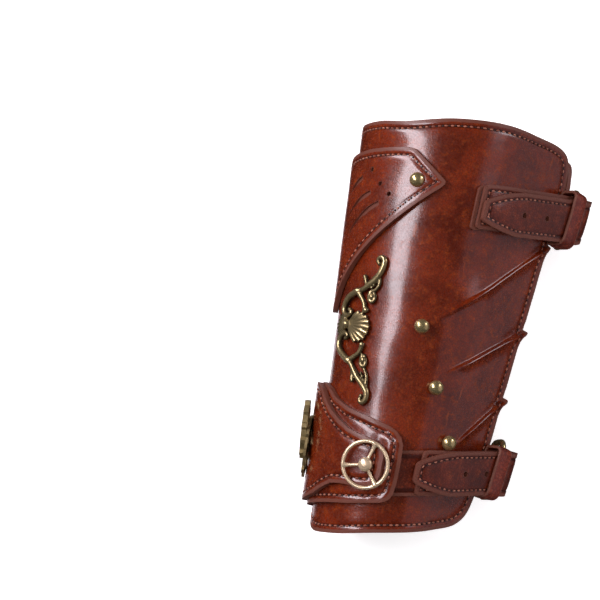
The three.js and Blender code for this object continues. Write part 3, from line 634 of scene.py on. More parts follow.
def near_strap(distance, y, lift):
    """A place past the seam's point, where the strap bends down towards its buckle."""
    on_wall = min(distance, BEND_START)
    angle = POINT_ANGLE + on_wall / radius(y) / DEG
    if distance <= BEND_START:
        return place(angle, y, lift)
    turn = min((distance - BEND_START) / BEND_RADIUS, BEND_TURN)
    run = distance - BEND_START - BEND_RADIUS * turn
    a = math.pi / 2 - FLAP_LEAN - turn
    out, on = Vector((math.cos(a), 0, math.sin(a))), Vector((math.sin(a), 0, -math.cos(a)))
    return place(angle, y, BEND_DEPTH) + out * (lift - BEND_DEPTH) + on * run


def rise_at(distance):
    """Past its keeper a strap rises on towards its buckle."""
    return RISE_SLOPE * max(0, distance - RISE_FROM)


def buckle_axes(strap):
    y = middle_at(strap, POINT_ANGLE) + rise_at(HEEL_AT)
    origin = near_strap(HEEL_AT, y, HEEL_LIFT)
    on = (near_strap(HEEL_AT + 5, y, HEEL_LIFT) - origin).normalized()
    side = near_strap(HEEL_AT, y + 5, HEEL_LIFT) - near_strap(HEEL_AT, y - 5, HEEL_LIFT)
    out = on.cross(side).normalized()
    return Matrix.Translation(origin) @ Matrix((on, out.cross(on), out)).transposed().to_4x4()


for strap in STRAPS.values():
    strap["buckle"] = buckle_axes(strap)
    print("buckle at", [round(c, 1) for c in strap["buckle"].translation])

# %% [markdown]
# The course of a strap is given by a few stations: some on the wall, some past the seam, some round the
# heel bar or in the buckle. A station is a small function that turns a distance across the strap and a
# height above its middle into a point, so that one list can lead a strap over all these surfaces.

# %% Stations
def on_wall(strap, angle, lift, drop=0.0, side=1):
    return lambda w, up: place(angle, middle_at(strap, angle) - drop + w, lift + side * up)


def past_seam(strap, distance, lift, drop=0.0, side=1):
    y = middle_at(strap, POINT_ANGLE) + rise_at(distance) - drop
    return lambda w, up: near_strap(distance, y + w, lift + side * up)


def in_buckle(strap, on, lift):
    return lambda w, up: strap["buckle"] @ Vector((on, w, lift - HEEL_LIFT + up))


def round_heel(strap, degrees):
    a = degrees * DEG
    return lambda w, up: strap["buckle"] @ Vector(
        ((FOLD_ROUND + up) * math.cos(a), w, (FOLD_ROUND + up) * math.sin(a)))


def ply_lift(ply, angle, start):
    return lerp(ply[0], ply[1], smooth((angle - start) / (POINT_ANGLE - 10 - start)))


def angles_from(start, step=8):
    out = []
    while start < POINT_ANGLE - 4:
        out.append(start)
        start += step
    return out


def anchor_stations(strap):
    def ply(start, lifts, last, side):
        run = [on_wall(strap, a, ply_lift(lifts, a, start), 0, side) for a in angles_from(start)]
        run += [past_seam(strap, d, lifts[1], 0, side) for d in (-2, BEND_START)]
        for t in (0.33, 0.67, 1):
            lift = lerp(lifts[1], last, smooth(t))
            run.append(past_seam(strap, BEND_START + BEND_LENGTH * t, lift, 0, side))
        return run
    high = ply(strap["fold_end"], HIGH_PLY, HEEL_LIFT + FOLD_ROUND, 1)
    low = ply(strap["anchor_end"], LOW_PLY, HEEL_LIFT - FOLD_ROUND, -1)
    return high + [round_heel(strap, d) for d in (90, 60, 30, 0, -30, -60, -90)] + low[::-1], len(high)


def tongue_stations(strap):
    drop, tip = strap["drop"], strap["tip"]

    def lift(angle):
        return ply_lift((TONGUE_TIP_LIFT, TONGUE_LIFT), angle, strap["fold_end"])
    stations = [on_wall(strap, a, lift(a), drop) for a in angles_from(tip)]
    stations += [past_seam(strap, d, TONGUE_LIFT, drop) for d in (-2, BEND_START)]
    through = len(stations)
    high = HEEL_LIFT + FOLD_ROUND + PLY / 2 + FIT + LEATHER / 2
    low = HEEL_LIFT - ROLLER / 2 - FIT - LEATHER / 2
    for t in (0.33, 0.67, 1):
        distance = BEND_START + BEND_LENGTH * t
        stations.append(past_seam(strap, distance, lerp(TONGUE_LIFT, high, t), drop * (1 - t)))
    stations += [in_buckle(strap, 1.4, high), in_buckle(strap, FRAME_REACH - 3.2, low + 0.4)]
    stations += [in_buckle(strap, FRAME_REACH, low), in_buckle(strap, FRAME_REACH + 3, low)]
    angle = -FLAP_ANGLE - 2
    while angle < -strap["root"] - 3:
        stations.append(on_wall(strap, angle, FIT + LEATHER / 2))
        angle += 6
    return stations + [on_wall(strap, -strap["root"], FIT + LEATHER / 2)], through


for name, strap in STRAPS.items():
    print(name, "stations:", len(anchor_stations(strap)[0]), "and", len(tongue_stations(strap)[0]))

# %% [markdown]
# A smooth curve is drawn through the stations, because a strap bends evenly and shows no corners. The flat
# pattern of a strap is then simply its length along this curve and its width. Both straps get a slot for
# the prong of the buckle, and the tongue gets its round holes.

# %% Cut the straps
TONGUE_TIP = [(0, 3.4), (0.5, 4.4), (1.8, 5.3), (5, 6.6), (9, 7.9), (14, 9.1), (20, 10)]
ANCHOR_END = [(0, 8.3), (0.4, 9.2), (1.2, 9.8), (2.4, 10)]
STRAP_HOLE = 2.6
SLOT_MIDDLE, SLOT_HALF_LENGTH, SLOT_HALF_DEPTH = (2.3, 0, 1), 5.7, 7


class StrapPattern(Pattern):
    def __init__(self, stations, thick, start_shape, stop_shape):
        self.stations = stations
        middles = [f(0, 0) for f in stations]
        self.marks = [0.0]
        for a, b in zip(middles, middles[1:]):
            self.marks.append(self.marks[-1] + (b - a).length)
        length = self.marks[-1]

        def edges(s):
            half = min(read(start_shape, s), read(stop_shape, length - s))
            return -half, half
        ends = [row[0] for row in start_shape] + EDGE_ROWS
        stops = ends + [length - d for d in ends] + self.marks
        columns = spaced(sorted(set(round(s, 3) for s in stops if 0 <= s <= length)), 1.5)
        super().__init__(columns, edges, self.bend, lambda s, w: (s, w), lambda s, w: (s, w), 4,
                         lambda s, w: thick / 2)

    def bend(self, s, w, up):
        """A smooth curve through the stations."""
        marks, stations = self.marks, self.stations
        k = min(max(int(np.searchsorted(marks, s)) - 1, 0), len(marks) - 2)
        near = {i: stations[i](w, up) for i in range(max(k - 1, 0), min(k + 3, len(marks)))}

        def slope(i):
            a, b = max(i - 1, 0), min(i + 1, len(marks) - 1)
            return (near[b] - near[a]) / (marks[b] - marks[a])
        run = marks[k + 1] - marks[k]
        t = (s - marks[k]) / run
        return ease(near[k], near[k + 1], slope(k), slope(k + 1), run, t)


def prong_slot(strap):
    half = PRONG / 2 + FIT + 0.2
    bpy.ops.object.select_all(action="DESELECT")
    bpy.ops.mesh.primitive_cube_add(size=2)
    cutter = bpy.context.object
    size = Matrix.Diagonal((SLOT_HALF_LENGTH, half, SLOT_HALF_DEPTH, 1))
    cutter.data.transform(Matrix.Translation(SLOT_MIDDLE) @ size)
    cutter.data.transform(Matrix.Scale(MM, 4) @ strap["buckle"])
    return cutter


patterns = {}
STRAP_GROOVE = [(0, 0), (1.25, 0.02), (1.9, 0.08), (2.6, -0.28), (3.3, -0.06), (5.2, 0.1), (10, 0.14)]
for name, strap in STRAPS.items():
    stations, strap["plies"] = anchor_stations(strap)
    anchor = StrapPattern(stations, PLY, ANCHOR_END, ANCHOR_END)
    stations, strap["through"] = tongue_stations(strap)
    tongue = StrapPattern(stations, LEATHER, TONGUE_TIP, ANCHOR_END)
    patterns[name] = anchor, tongue
    piece = leather_sheet(f"{name}_anchor_leather", anchor, PLY, STRAP_GROOVE, 0.7)
    carve(piece, [prong_slot(strap)])
    pieces[f"{name}_anchor"] = piece
    dress(piece, "strap_hide", f"{name}_anchor_strap")
    piece = leather_sheet(f"{name}_tongue_leather", tongue, LEATHER, STRAP_GROOVE)
    holes = [punch(a, middle_at(strap, a) - strap["drop"], TONGUE_LIFT, STRAP_HOLE) for a in strap["holes"]]
    carve(piece, holes + [prong_slot(strap)])
    pieces[f"{name}_tongue"] = piece
    dress(piece, "strap_hide", f"{name}_tongue_strap")
    print(name, "straps, cut flat, mm:", round(anchor.marks[-1]), round(tongue.marks[-1]), "by", STRAP_WIDTH)

# %% [markdown]
# A keeper is a loop of leather that holds the tongue down. A curve with a flat profile could draw it, but
# would pinch at the corners, so a grid is bent round the straps and its two ends are merged into one
# closed band.

# %% Keepers
KEEPER_FROM, KEEPER_TO, KEEPER_WALL = -5.8, 3.0, 1.4
KEEPER_ROOM = FIT + KEEPER_WALL, TONGUE_LIFT + LEATHER / 2 + FIT
KEEPER_SIDE, KEEPER_CORNER, UNDER_CORNER = STRAP_WIDTH / 2 + 0.6, 2.2, 0.4
KEEPER_GROOVE = [(0, 0), (0.9, 0.02), (2.0, 0.12), (4.5, 0.22)]


def keeper_pattern(strap):
    middle = middle_at(strap, POINT_ANGLE) - strap["drop"] / 2 - strap["climb"] * 2
    side = KEEPER_SIDE + strap["drop"] / 2
    low, high = KEEPER_ROOM
    corners = [
        (side - KEEPER_CORNER, high - KEEPER_CORNER, 0, KEEPER_CORNER),
        (-side + KEEPER_CORNER, high - KEEPER_CORNER, 90, KEEPER_CORNER),
        (-side + UNDER_CORNER, low + UNDER_CORNER, 180, UNDER_CORNER),
        (side - UNDER_CORNER, low + UNDER_CORNER, 270, UNDER_CORNER),
    ]
    loop = []
    for k, (b, c, start, inner) in enumerate(corners):
        for step in range(0, 91, 15):
            loop.append((b, c, start + step, inner))
        b2, c2, _, inner2 = corners[(k + 1) % 4]
        for t in np.linspace(0, 1, 8)[1:-1]:
            loop.append((lerp(b, b2, t), lerp(c, c2, t), start + 90, lerp(inner, inner2, t)))
    loop.append(loop[0])

    def spot(s, w, up):
        b, c, degrees, inner = loop[int(round(s))]
        reach = inner + KEEPER_WALL + up
        side_way, up_way = math.cos(degrees * DEG), math.sin(degrees * DEG)
        return near_strap(w, middle + b + reach * side_way, c + reach * up_way)
    columns = list(range(len(loop)))
    return Pattern(columns, lambda s: (KEEPER_FROM, KEEPER_TO), spot, lambda s, w: (s, w), None, 4)


for name, strap in STRAPS.items():
    pattern = keeper_pattern(strap)
    piece = leather_sheet(f"{name}_keeper_leather", pattern, KEEPER_WALL - 0.05, KEEPER_GROOVE, 0.55, True)
    pieces[f"{name}_keeper"] = piece
    dress(piece, "keeper_hide", f"{name}_keeper")

# %% [markdown]
# Stitches are modelled, because they catch the light one by one. One stitch is a small sphere drawn out
# long and bent down at its ends. A second sphere, pressed flat and given a near-black finish, is a dot of
# painted shade where the awl has left a hole at its end.

# %% One stitch
STITCH_PITCH = 2.7
STITCH_LONG, STITCH_WIDE, STITCH_TALL, STITCH_BEND = 0.92, 0.42, 0.36, 0.42
SHADE_DOT_REACH, SHADE_DOT_TALL = 0.5, 0.24
bpy.ops.object.select_all(action="DESELECT")
bpy.ops.mesh.primitive_uv_sphere_add(segments=8, ring_count=6, radius=1)
stitch = bpy.context.object
for v in stitch.data.vertices:
    x, y, z = v.co.z, v.co.x, v.co.y
    v.co = Vector((STITCH_LONG * x, STITCH_WIDE * y, STITCH_TALL * z - STITCH_BEND * x ** 4))
# The flattened sphere is painted shade for the awl hole, not a hole in the leather.
bpy.ops.mesh.primitive_uv_sphere_add(segments=8, ring_count=4, radius=1)
shade_dot = bpy.context.object
flat_ball = Matrix.Diagonal((SHADE_DOT_REACH, SHADE_DOT_REACH, SHADE_DOT_TALL, 1))
shade_dot.data.transform(Matrix.Translation((STITCH_PITCH / 2, 0, -0.02)) @ flat_ball)
pick(shade_dot)
stitch.select_set(True)
bpy.context.view_layer.objects.active = stitch
bpy.ops.object.join()
stitch_points = [v.co.copy() for v in stitch.data.vertices]
stitch_faces = [list(p.vertices) for p in stitch.data.polygons]
reaches = [max(stitch_points[k].x for k in face) for face in stitch_faces]
stitch_slots = [0 if reach < 0.8 * STITCH_PITCH / 2 else 1 for reach in reaches]
bpy.data.objects.remove(stitch)
print("one stitch:", len(stitch_faces), "faces, of its hole:", sum(stitch_slots))

# %% [markdown]
# A seam follows a line inside the cut edge, found on the flat pattern. Copies of the stitch are set along
# it at an even pitch, turned to the run of the line and to the surface, and gathered in one mesh for each
# piece of leather. An Array along a curve could set them too, but would not know the slant of the leather.
# Where a strap is hidden in its buckle, or leather lies on the floor, none is set.

# %% Seams
PATCH_INSET, STRAP_INSET = 3.3, 2.6
FLOOR_CLEARANCE = 1.5


def inset_line(pattern, inset):
    """The line inside the cut edge that the stitches follow, on the flat pattern."""
    outline = pattern.outline()
    after = np.roll(outline, -1, axis=0)
    area = np.sum(outline[:, 0] * after[:, 1] - after[:, 0] * outline[:, 1])
    line = []
    for a, b in zip(outline, after):
        run = b - a
        length = np.linalg.norm(run)
        if length < 1e-6:
            continue
        inward = np.array([-run[1], run[0]]) / length * math.copysign(inset, area)
        for t in np.linspace(0, 1, max(2, int(length / 0.4)), endpoint=False):
            line.append(a + run * t + inward)
    line = np.array(line)
    return line[edge_distance(line, outline) > inset - 0.03]


def seam(name, pattern, inset, keep=lambda s, w: True, lift=-0.18):
    line = inset_line(pattern, inset)
    points, faces = [], []
    travelled, last = 0.0, line[0]
    due = 0.0
    for here, ahead in zip(line, np.roll(line, -1, axis=0)):
        travelled += np.linalg.norm(here - last)
        last = here
        run = ahead - here
        length = np.linalg.norm(run)
        if travelled < due or not 1e-6 < length < 1.5:
            continue
        due = travelled + STITCH_PITCH
        run = run / length
        side = np.array([-run[1], run[0]])
        s, w = pattern.back(*here)
        if not keep(s, w):
            continue
        up = pattern.lift(s, w) + lift
        spot = pattern.spot(s, w, up)
        if spot.z < FLOOR_CLEARANCE:
            continue
        forward = (pattern.spot(*pattern.back(*(here + 0.4 * run)), up) - spot).normalized()
        out = pattern.spot(s, w, up + 1) - spot
        out = (out - out.dot(forward) * forward).normalized()
        turn = Matrix((forward, out.cross(forward), out)).transposed()
        first = len(points)
        points += [(spot + turn @ p) * MM for p in stitch_points]
        faces += [[first + k for k in face] for face in stitch_faces]
    mesh = bpy.data.meshes.new(name)
    mesh.from_pydata(points, [], faces)
    mesh.polygons.foreach_set("material_index", stitch_slots * (len(faces) // len(stitch_slots)))
    obj = bpy.data.objects.new(name, mesh)
    bpy.context.collection.objects.link(obj)
    soften(obj, 80)
    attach(obj, "root")
    print(name, "stitches:", len(faces) // len(stitch_faces))
    return obj


seams = [
    seam("wall_seam", wall, PATCH_INSET),
    seam("claw_patch_seam", claw, PATCH_INSET),
    seam("wrist_patch_seam", wrist, PATCH_INSET),
    seam("wrist_overlay_seam", overlay, PATCH_INSET),
]
for name, (anchor, tongue) in patterns.items():
    strap = STRAPS[name]
    end_of_ply = anchor.marks[strap["plies"] - 5]
    end_of_tongue = tongue.marks[strap["through"] - 3]
    far_side = tongue.marks[strap["through"] + 7]
    seams.append(seam(f"{name}_anchor_seam", anchor, STRAP_INSET, lambda s, w: s < end_of_ply))
    seams.append(seam(
        f"{name}_tongue_seam", tongue, STRAP_INSET, lambda s, w: s < end_of_tongue or s > far_side))

# %% [markdown]
# A roller buckle has four things: a frame of bent wire, a roller on its front bar, a prong that hooks
# round the heel bar, and the strap. The frame starts as a torus, whose points are moved from the circle
# to a rectangle with round corners, so the wire keeps its round section all the way.

# %% Buckle frames
FRAME_HALF, FRAME_CORNER = STRAP_WIDTH / 2 + 1.5 + WIRE / 2, 4
RING_WIRE = 0.25                # radius of the wire of the torus, whose own radius is 1


def frame_path():
    corners = [
        (FRAME_CORNER, FRAME_CORNER - FRAME_HALF, 180),
        (FRAME_REACH - FRAME_CORNER, FRAME_CORNER - FRAME_HALF, 270),
        (FRAME_REACH - FRAME_CORNER, FRAME_HALF - FRAME_CORNER, 0),
        (FRAME_CORNER, FRAME_HALF - FRAME_CORNER, 90),
    ]
    path = []
    for k, (a, b, start) in enumerate(corners):
        for step in np.linspace(0, 90, 9):
            t = (start + step) * DEG
            path.append((a + FRAME_CORNER * math.cos(t), b + FRAME_CORNER * math.sin(t), t))
        a2, b2, _ = corners[(k + 1) % 4]
        t = (start + 90) * DEG
        for share in (0.25, 0.5, 0.75):
            path.append((lerp(a, a2, share) + FRAME_CORNER * math.cos(t),
                         lerp(b, b2, share) + FRAME_CORNER * math.sin(t), t))
    return path


def buckle_frame(name, strap):
    path = frame_path()
    bpy.ops.object.select_all(action="DESELECT")
    bpy.ops.mesh.primitive_torus_add(
        major_segments=len(path), minor_segments=16, major_radius=1, minor_radius=RING_WIRE)
    obj = bpy.context.object
    obj.name = obj.data.name = name
    for v in obj.data.vertices:
        turn = math.atan2(v.co.y, v.co.x) % (2 * math.pi)
        a, b, t = path[round(turn / (2 * math.pi) * len(path)) % len(path)]
        out = (math.hypot(v.co.x, v.co.y) - 1) / RING_WIRE * WIRE / 2
        local = Vector((a + out * math.cos(t), b + out * math.sin(t), v.co.z / RING_WIRE * WIRE / 2))
        v.co = strap["buckle"] @ local * MM
    face_outwards(obj)
    soften(obj, 60)
    return obj


print("places along the wire of a frame:", len(frame_path()))

# %% [markdown]
# Round pieces are turned: a circle is added, and its rim is extruded and scaled ring by ring along a
# short profile of radius and height. Rods are drawn as a curve with a thickness and converted to a mesh.
# Cast pieces are fused from such parts by a voxel remesh, which melts their joints as casting does.

# %% Turning, drawing and casting
def turned(name, profile, segments=36, bored=False):
    bpy.ops.object.select_all(action="DESELECT")
    bpy.ops.mesh.primitive_circle_add(vertices=segments, radius=profile[0][0])
    obj = bpy.context.object
    obj.name = obj.data.name = name
    bpy.ops.object.mode_set(mode="EDIT")
    bpy.ops.mesh.select_all(action="SELECT")
    bpy.ops.transform.translate(value=(0, 0, profile[0][1]))
    for (r0, h0), (r1, h1) in zip(profile, profile[1:]):
        bpy.ops.mesh.extrude_region_move(TRANSFORM_OT_translate={"value": (0, 0, h1 - h0)})
        bpy.ops.transform.resize(value=(r1 / r0, r1 / r0, 1))
    bpy.ops.mesh.select_all(action="DESELECT")
    bpy.ops.mesh.select_non_manifold()
    if bored:
        bpy.ops.mesh.bridge_edge_loops()
    else:
        bpy.ops.mesh.fill()
    bpy.ops.mesh.select_all(action="SELECT")
    bpy.ops.mesh.normals_make_consistent(inside=False)
    bpy.ops.object.mode_set(mode="OBJECT")
    return obj


def set_down(obj, turn, spot=Vector((0, 0, 0))):
    """Moves a piece drawn in millimetres at the origin to its place on the cuff."""
    obj.data.transform(Matrix.Scale(MM, 4) @ Matrix.Translation(spot) @ turn)


def rod(points, radii):
    bpy.ops.object.select_all(action="DESELECT")
    bpy.ops.curve.primitive_nurbs_path_add()
    obj = bpy.context.object
    obj.data.splines.clear()
    spline = obj.data.splines.new("NURBS")
    spline.points.add(len(points) - 1)
    for p, co, r in zip(spline.points, points, radii):
        p.co = (*co, 1)
        p.radius = r
    spline.order_u = 3
    spline.use_endpoint_u = True
    obj.data.resolution_u = 6
    obj.data.bevel_depth = 1
    obj.data.bevel_resolution = 3
    obj.data.use_fill_caps = True
    pick(obj)
    bpy.ops.object.convert(target="MESH")
    return bpy.context.object


def ball(spot, size):
    bpy.ops.object.select_all(action="DESELECT")
    bpy.ops.mesh.primitive_ico_sphere_add(subdivisions=2, radius=1)
    obj = bpy.context.object
    obj.data.transform(Matrix.Translation(spot) @ Matrix.Diagonal((*size, 1)))
    return obj


def cast(name, parts, voxel, rounds=4):
    """Joins parts that are drawn in millimetres and melts them into one skin."""
    bpy.ops.object.select_all(action="DESELECT")
    for part in parts:
        part.select_set(True)
    bpy.context.view_layer.objects.active = parts[0]
    bpy.ops.object.join()
    obj = bpy.context.object
    obj.name = obj.data.name = name
    remesh = obj.modifiers.new("melt", "REMESH")
    remesh.mode = "VOXEL"
    remesh.voxel_size = voxel
    ease = obj.modifiers.new("ease", "SMOOTH")
    ease.factor = 0.5
    ease.iterations = rounds
    apply_modifiers(obj)
    pick(obj)
    bpy.ops.object.shade_smooth()
    return obj


print("ways to make metal: turned, rod, ball, cast")

# %% [markdown]
# With these three ways of working the buckles are finished: the frame is bent, the roller is turned round
# its bar, and the prong is cast from a tapering rod and an eye that hooks round the heel bar.

# %% Buckles
ROLLER_PROFILE = [
    (1.85, -7.3), (1.9, -7.5), (2.1, -7.45), (2.2, -7.25),
    (2.2, 7.25), (2.1, 7.45), (1.9, 7.5), (1.85, 7.3),
]
PRONG_EYE = 0.55
PRONG_LINE = [(2.1, 0.2, 1.3), (3.6, 1.3, 1.3), (6.5, 2.6, 1.2), (FRAME_REACH - 1, 3.35, 1.0),
              (FRAME_REACH + 1, 3.3, 0.85), (FRAME_REACH + 1.9, 3.1, 0.6)]
across_turn = Matrix.Rotation(-math.pi / 2, 4, "X")
for name, strap in STRAPS.items():
    piece = buckle_frame(f"{name}_buckle_frame_brass", strap)
    dress(piece, "antique_brass", f"{name}_buckle_frame")
    pieces[f"{name}_frame"] = piece
    piece = turned(f"{name}_buckle_roller_brass", ROLLER_PROFILE, bored=True)
    set_down(piece, strap["buckle"] @ Matrix.Translation((FRAME_REACH, 0, 0)) @ across_turn)
    soften(piece)
    dress(piece, "antique_brass", f"{name}_buckle_roller")
    pieces[f"{name}_roller"] = piece
    hook = rod([(a, 0, c) for a, c, _ in PRONG_LINE], [r for _, _, r in PRONG_LINE])
    bpy.ops.object.select_all(action="DESELECT")
    bpy.ops.mesh.primitive_torus_add(
        major_segments=40, minor_segments=12, major_radius=WIRE / 2 + FIT + PRONG_EYE, minor_radius=PRONG_EYE)
    eye = bpy.context.object
    eye.data.transform(Matrix.Rotation(math.pi / 2, 4, "X") @ Matrix.Diagonal((1, 1, 2.2, 1)))
    piece = cast(f"{name}_buckle_prong_brass", [hook, eye], 0.2, 3)
    set_down(piece, strap["buckle"])
    dress(piece, "antique_brass", f"{name}_buckle_prong")
    pieces[f"{name}_prong"] = piece
    print(name, "buckle done")

# %% [markdown]
# The studs are turned brass. The three at the folds are tall balls on a short neck, the one on the claw
# patch is a low dome, so they get two profiles of one diameter.

# %% Studs
BALL_STUD = [
    (2.3, 0), (2.45, 0.35), (2.9, 0.6), (3.2, 1.2), (3.3, 1.9), (3.24, 2.6), (3.02, 3.3), (2.6, 3.95),
    (2.0, 4.5), (1.25, 4.85), (0.5, 4.98), (0.1, 5),
]
DOME_STUD = [
    (3.3, 0), (3.3, 0.35), (3.2, 0.65), (2.95, 1.15), (2.5, 1.75), (1.9, 2.25), (1.2, 2.58), (0.5, 2.72),
    (0.1, 2.75),
]
STUD_PLACES = [(93.3, -6.6), (112, -31), (133.5, -52.6)]


def stud(name, profile, angle, y, lift, node):
    piece = turned(name, profile)
    turn, spot = axes_at(angle, y, lift)
    set_down(piece, turn, spot)
    soften(piece, 60)
    dress(piece, "antique_brass", node)
    return piece


pieces["patch_stud"] = stud("patch_stud_brass", DOME_STUD, *PATCH_STUD, LEATHER + 2 * FIT, "patch_stud")
for k, (angle, y) in enumerate(STUD_PLACES, 1):
    pieces[f"stud_{k}"] = stud(f"ball_stud_{k}_brass", BALL_STUD, angle, y, FIT, f"ball_stud_{k}")
print("studs:", len(STUD_PLACES) + 1)

# %% [markdown]
# The wheel on the wrist is cast: a wire rim, three spokes that widen towards the rim and a domed hub. A
# Boolean could join them, but would leave sharp corners where they meet, so they are melted together.

# %% Wheel
WHEEL_RIM, WHEEL_WIRE, HUB = 10.15, 0.85, 3.1
WHEEL_PLACE, WHEEL_HEIGHT = (75, -70.3), 1.4
SPOKES = (72, 191, 306)
SPOKE = [(2.0, 0.75), (4.5, 0.7), (7.5, 0.8), (9.3, 1.15), (WHEEL_RIM, 1.7)]
HUB_PROFILE = [
    (HUB, 0.1), (HUB, 1.9), (HUB * 0.93, 2.3), (HUB * 0.74, 2.8), (HUB * 0.42, 3.15), (0.1, 3.28),
]
OVERLAY_TOP = 2 * (FIT + LEATHER)
bpy.ops.object.select_all(action="DESELECT")
bpy.ops.mesh.primitive_torus_add(
    major_segments=72, minor_segments=14, major_radius=WHEEL_RIM, minor_radius=WHEEL_WIRE)
parts = [bpy.context.object]
parts[0].data.transform(Matrix.Translation((0, 0, WHEEL_HEIGHT)))
for degrees in SPOKES:
    a = degrees * DEG
    line = [(r * math.cos(a), r * math.sin(a), WHEEL_HEIGHT) for r, _ in SPOKE]
    parts.append(rod(line, [w for _, w in SPOKE]))
    parts[-1].data.transform(Matrix.Translation((0, 0, 0.45)) @ Matrix.Diagonal((1, 1, 0.7, 1)))
parts.append(turned("hub", HUB_PROFILE))
wheel = cast("spoked_wheel_brass", parts, 0.2, 3)
set_down(wheel, *axes_at(*WHEEL_PLACE, OVERLAY_TOP + FIT))
dress(wheel, "champagne_brass", "spoked_wheel")
pieces["wheel"] = wheel
print("wheel faces:", len(wheel.data.polygons))

# %% [markdown]
# The two gears on the outer line are flat plates. Their blank is a circle with eight corners for each tooth.
# Three of the eight are pushed out, the plate is extruded, its face is hollowed, its holes are bored, and
# its edges are bevelled. Teeth made one by one would have to be joined to a disc, and this way the outline
# is one clean line from the start.

# %% Gears
GEARS = [
    {"name": "gear_back", "y": -64, "outer": 13, "tooth": 1.4, "teeth": 9,
     "low": 0, "thick": 1.2, "holes": 4},
    {"name": "gear_front", "y": -56.6, "outer": 12, "tooth": 1.5, "teeth": 11,
     "low": 1.5, "thick": 2.4, "holes": 5},
]
TOOTH_CORNERS, PUSHED_OUT = 8, (1, 2, 3)
HOLLOW_SHARE, HOLE_RING_SHARE, HOLE_SHARE = 0.83, 0.56, 0.22
AXLE_RADIUS = 2


def gear(row):
    bpy.ops.object.select_all(action="DESELECT")
    bpy.ops.mesh.primitive_circle_add(
        vertices=row["teeth"] * TOOTH_CORNERS, radius=row["outer"], fill_type="NGON")
    obj = bpy.context.object
    obj.name = obj.data.name = f"{row['name']}_brass"
    for k, v in enumerate(obj.data.vertices):
        v.co *= 1 + row["tooth"] / row["outer"] * (1 if k % TOOTH_CORNERS in PUSHED_OUT else 0)
    bpy.ops.object.mode_set(mode="EDIT")
    bpy.ops.mesh.select_all(action="SELECT")
    bpy.ops.mesh.extrude_region_move(TRANSFORM_OT_translate={"value": (0, 0, row["thick"])})
    bpy.ops.mesh.select_all(action="SELECT")
    bpy.ops.mesh.normals_make_consistent(inside=False)
    bpy.ops.object.mode_set(mode="OBJECT")
    bpy.ops.object.select_all(action="DESELECT")
    bpy.ops.mesh.primitive_cylinder_add(vertices=48, radius=row["outer"] * HOLLOW_SHARE, depth=row["thick"])
    cutters = [bpy.context.object]
    cutters[0].data.transform(Matrix.Translation((0, 0, row["thick"] * 1.3)))
    for k in range(row["holes"] + 1):
        a = (k + 0.25) / row["holes"] * 2 * math.pi
        reach = row["outer"] * HOLE_RING_SHARE if k < row["holes"] else 0
        size = row["outer"] * HOLE_SHARE if reach else AXLE_RADIUS
        bpy.ops.object.select_all(action="DESELECT")
        bpy.ops.mesh.primitive_cylinder_add(vertices=28, radius=size, depth=12)
        cutters.append(bpy.context.object)
        cutters[-1].data.transform(Matrix.Translation((reach * math.cos(a), reach * math.sin(a), 0)))
    carve(obj, cutters)
    edge = obj.modifiers.new("worn", "BEVEL")
    edge.width = 0.3
    edge.segments = 2
    edge.limit_method = "ANGLE"
    apply_modifiers(obj)
    set_down(obj, *axes_at(0, row["y"], OVERLAY_TOP + FIT + row["low"]))
    soften(obj)
    dress(obj, "antique_brass", row["name"])
    return obj


for row in GEARS:
    pieces[row["name"]] = gear(row)
    print(row["name"], "teeth:", row["teeth"])

# %% [markdown]
# The scrollwork is one thin casting of curls, beads and a shell. Each curl is a rod drawn through a few
# places on the wall, and it swells and thins along its way. Beads sit where curls close or meet. The shell
# is a fan of ribs with a row of short petals behind it. All of it is melted into one skin, which gives the
# soft hollows of a casting. The height above the wall is kept for the finish, which is darker lower down.

# %% Scrollwork
SCROLLS = [
    {"path": [(57, 17.5), (55.4, 18.4), (56, 20.3), (59.3, 20.6), (61.3, 18.5), (60, 14.5), (58, 12),
              (55, 9.5), (51.5, 8), (48, 6), (42.5, 5)], "wide": (0.7, 1.15, 0.95)},
    {"path": [(43, 5.2), (35.5, 3.8), (30, 0.5), (28.5, -3), (32, -5.6), (37.4, -5.5), (38.5, -3.6),
              (35.8, -2.8)], "wide": (1.25, 1.1, 0.75)},
    {"path": [(42.5, 5), (46.5, 2.5), (50.5, -1), (51.5, -4.5)], "wide": (1.1, 0.8, 1)},
    {"path": [(58, 12), (59.7, 10), (59, 7.5), (57, 5.5), (53.5, 5)], "wide": (0.7, 0.7, 0.7)},
    {"path": [(53.5, 5), (52.6, 3), (54.3, 0.6), (57, 0.7), (58, 3.4), (56, 4.8)], "wide": (0.8, 0.85, 0.6)},
    {"path": [(50, 7.5), (47.8, 9.8), (47, 11.6)], "wide": (0.9, 0.65, 0.95)},
    {"path": [(36, -16), (38.5, -14.6), (34.5, -13.2), (29.5, -14.5), (27.5, -18), (31, -21.5),
              (37.5, -24), (43, -26)], "wide": (0.75, 1.1, 1.25)},
    {"path": [(53.5, -18), (53, -21), (49.5, -23.5), (43.5, -25.6)], "wide": (1, 0.8, 1.1)},
    {"path": [(55.5, -22.5), (54, -25.4), (55.6, -28), (58.4, -27.8), (58.6, -25), (56, -22.6)],
     "wide": (0.8, 0.85, 0.6)},
    {"path": [(44, -26), (49, -29.5), (53.5, -33), (57.5, -35), (61, -37), (64, -39.5), (63.4, -43),
              (60, -44), (58, -42.2), (59.3, -40.6)], "wide": (0.95, 1.15, 0.7)},
    {"path": [(57, -28), (60.5, -31), (61.7, -34), (61.5, -36.5)], "wide": (0.65, 0.65, 0.8)},
    {"path": [(47.5, -28.6), (48, -31.6), (49.2, -34.2)], "wide": (0.85, 0.65, 0.95)},
]
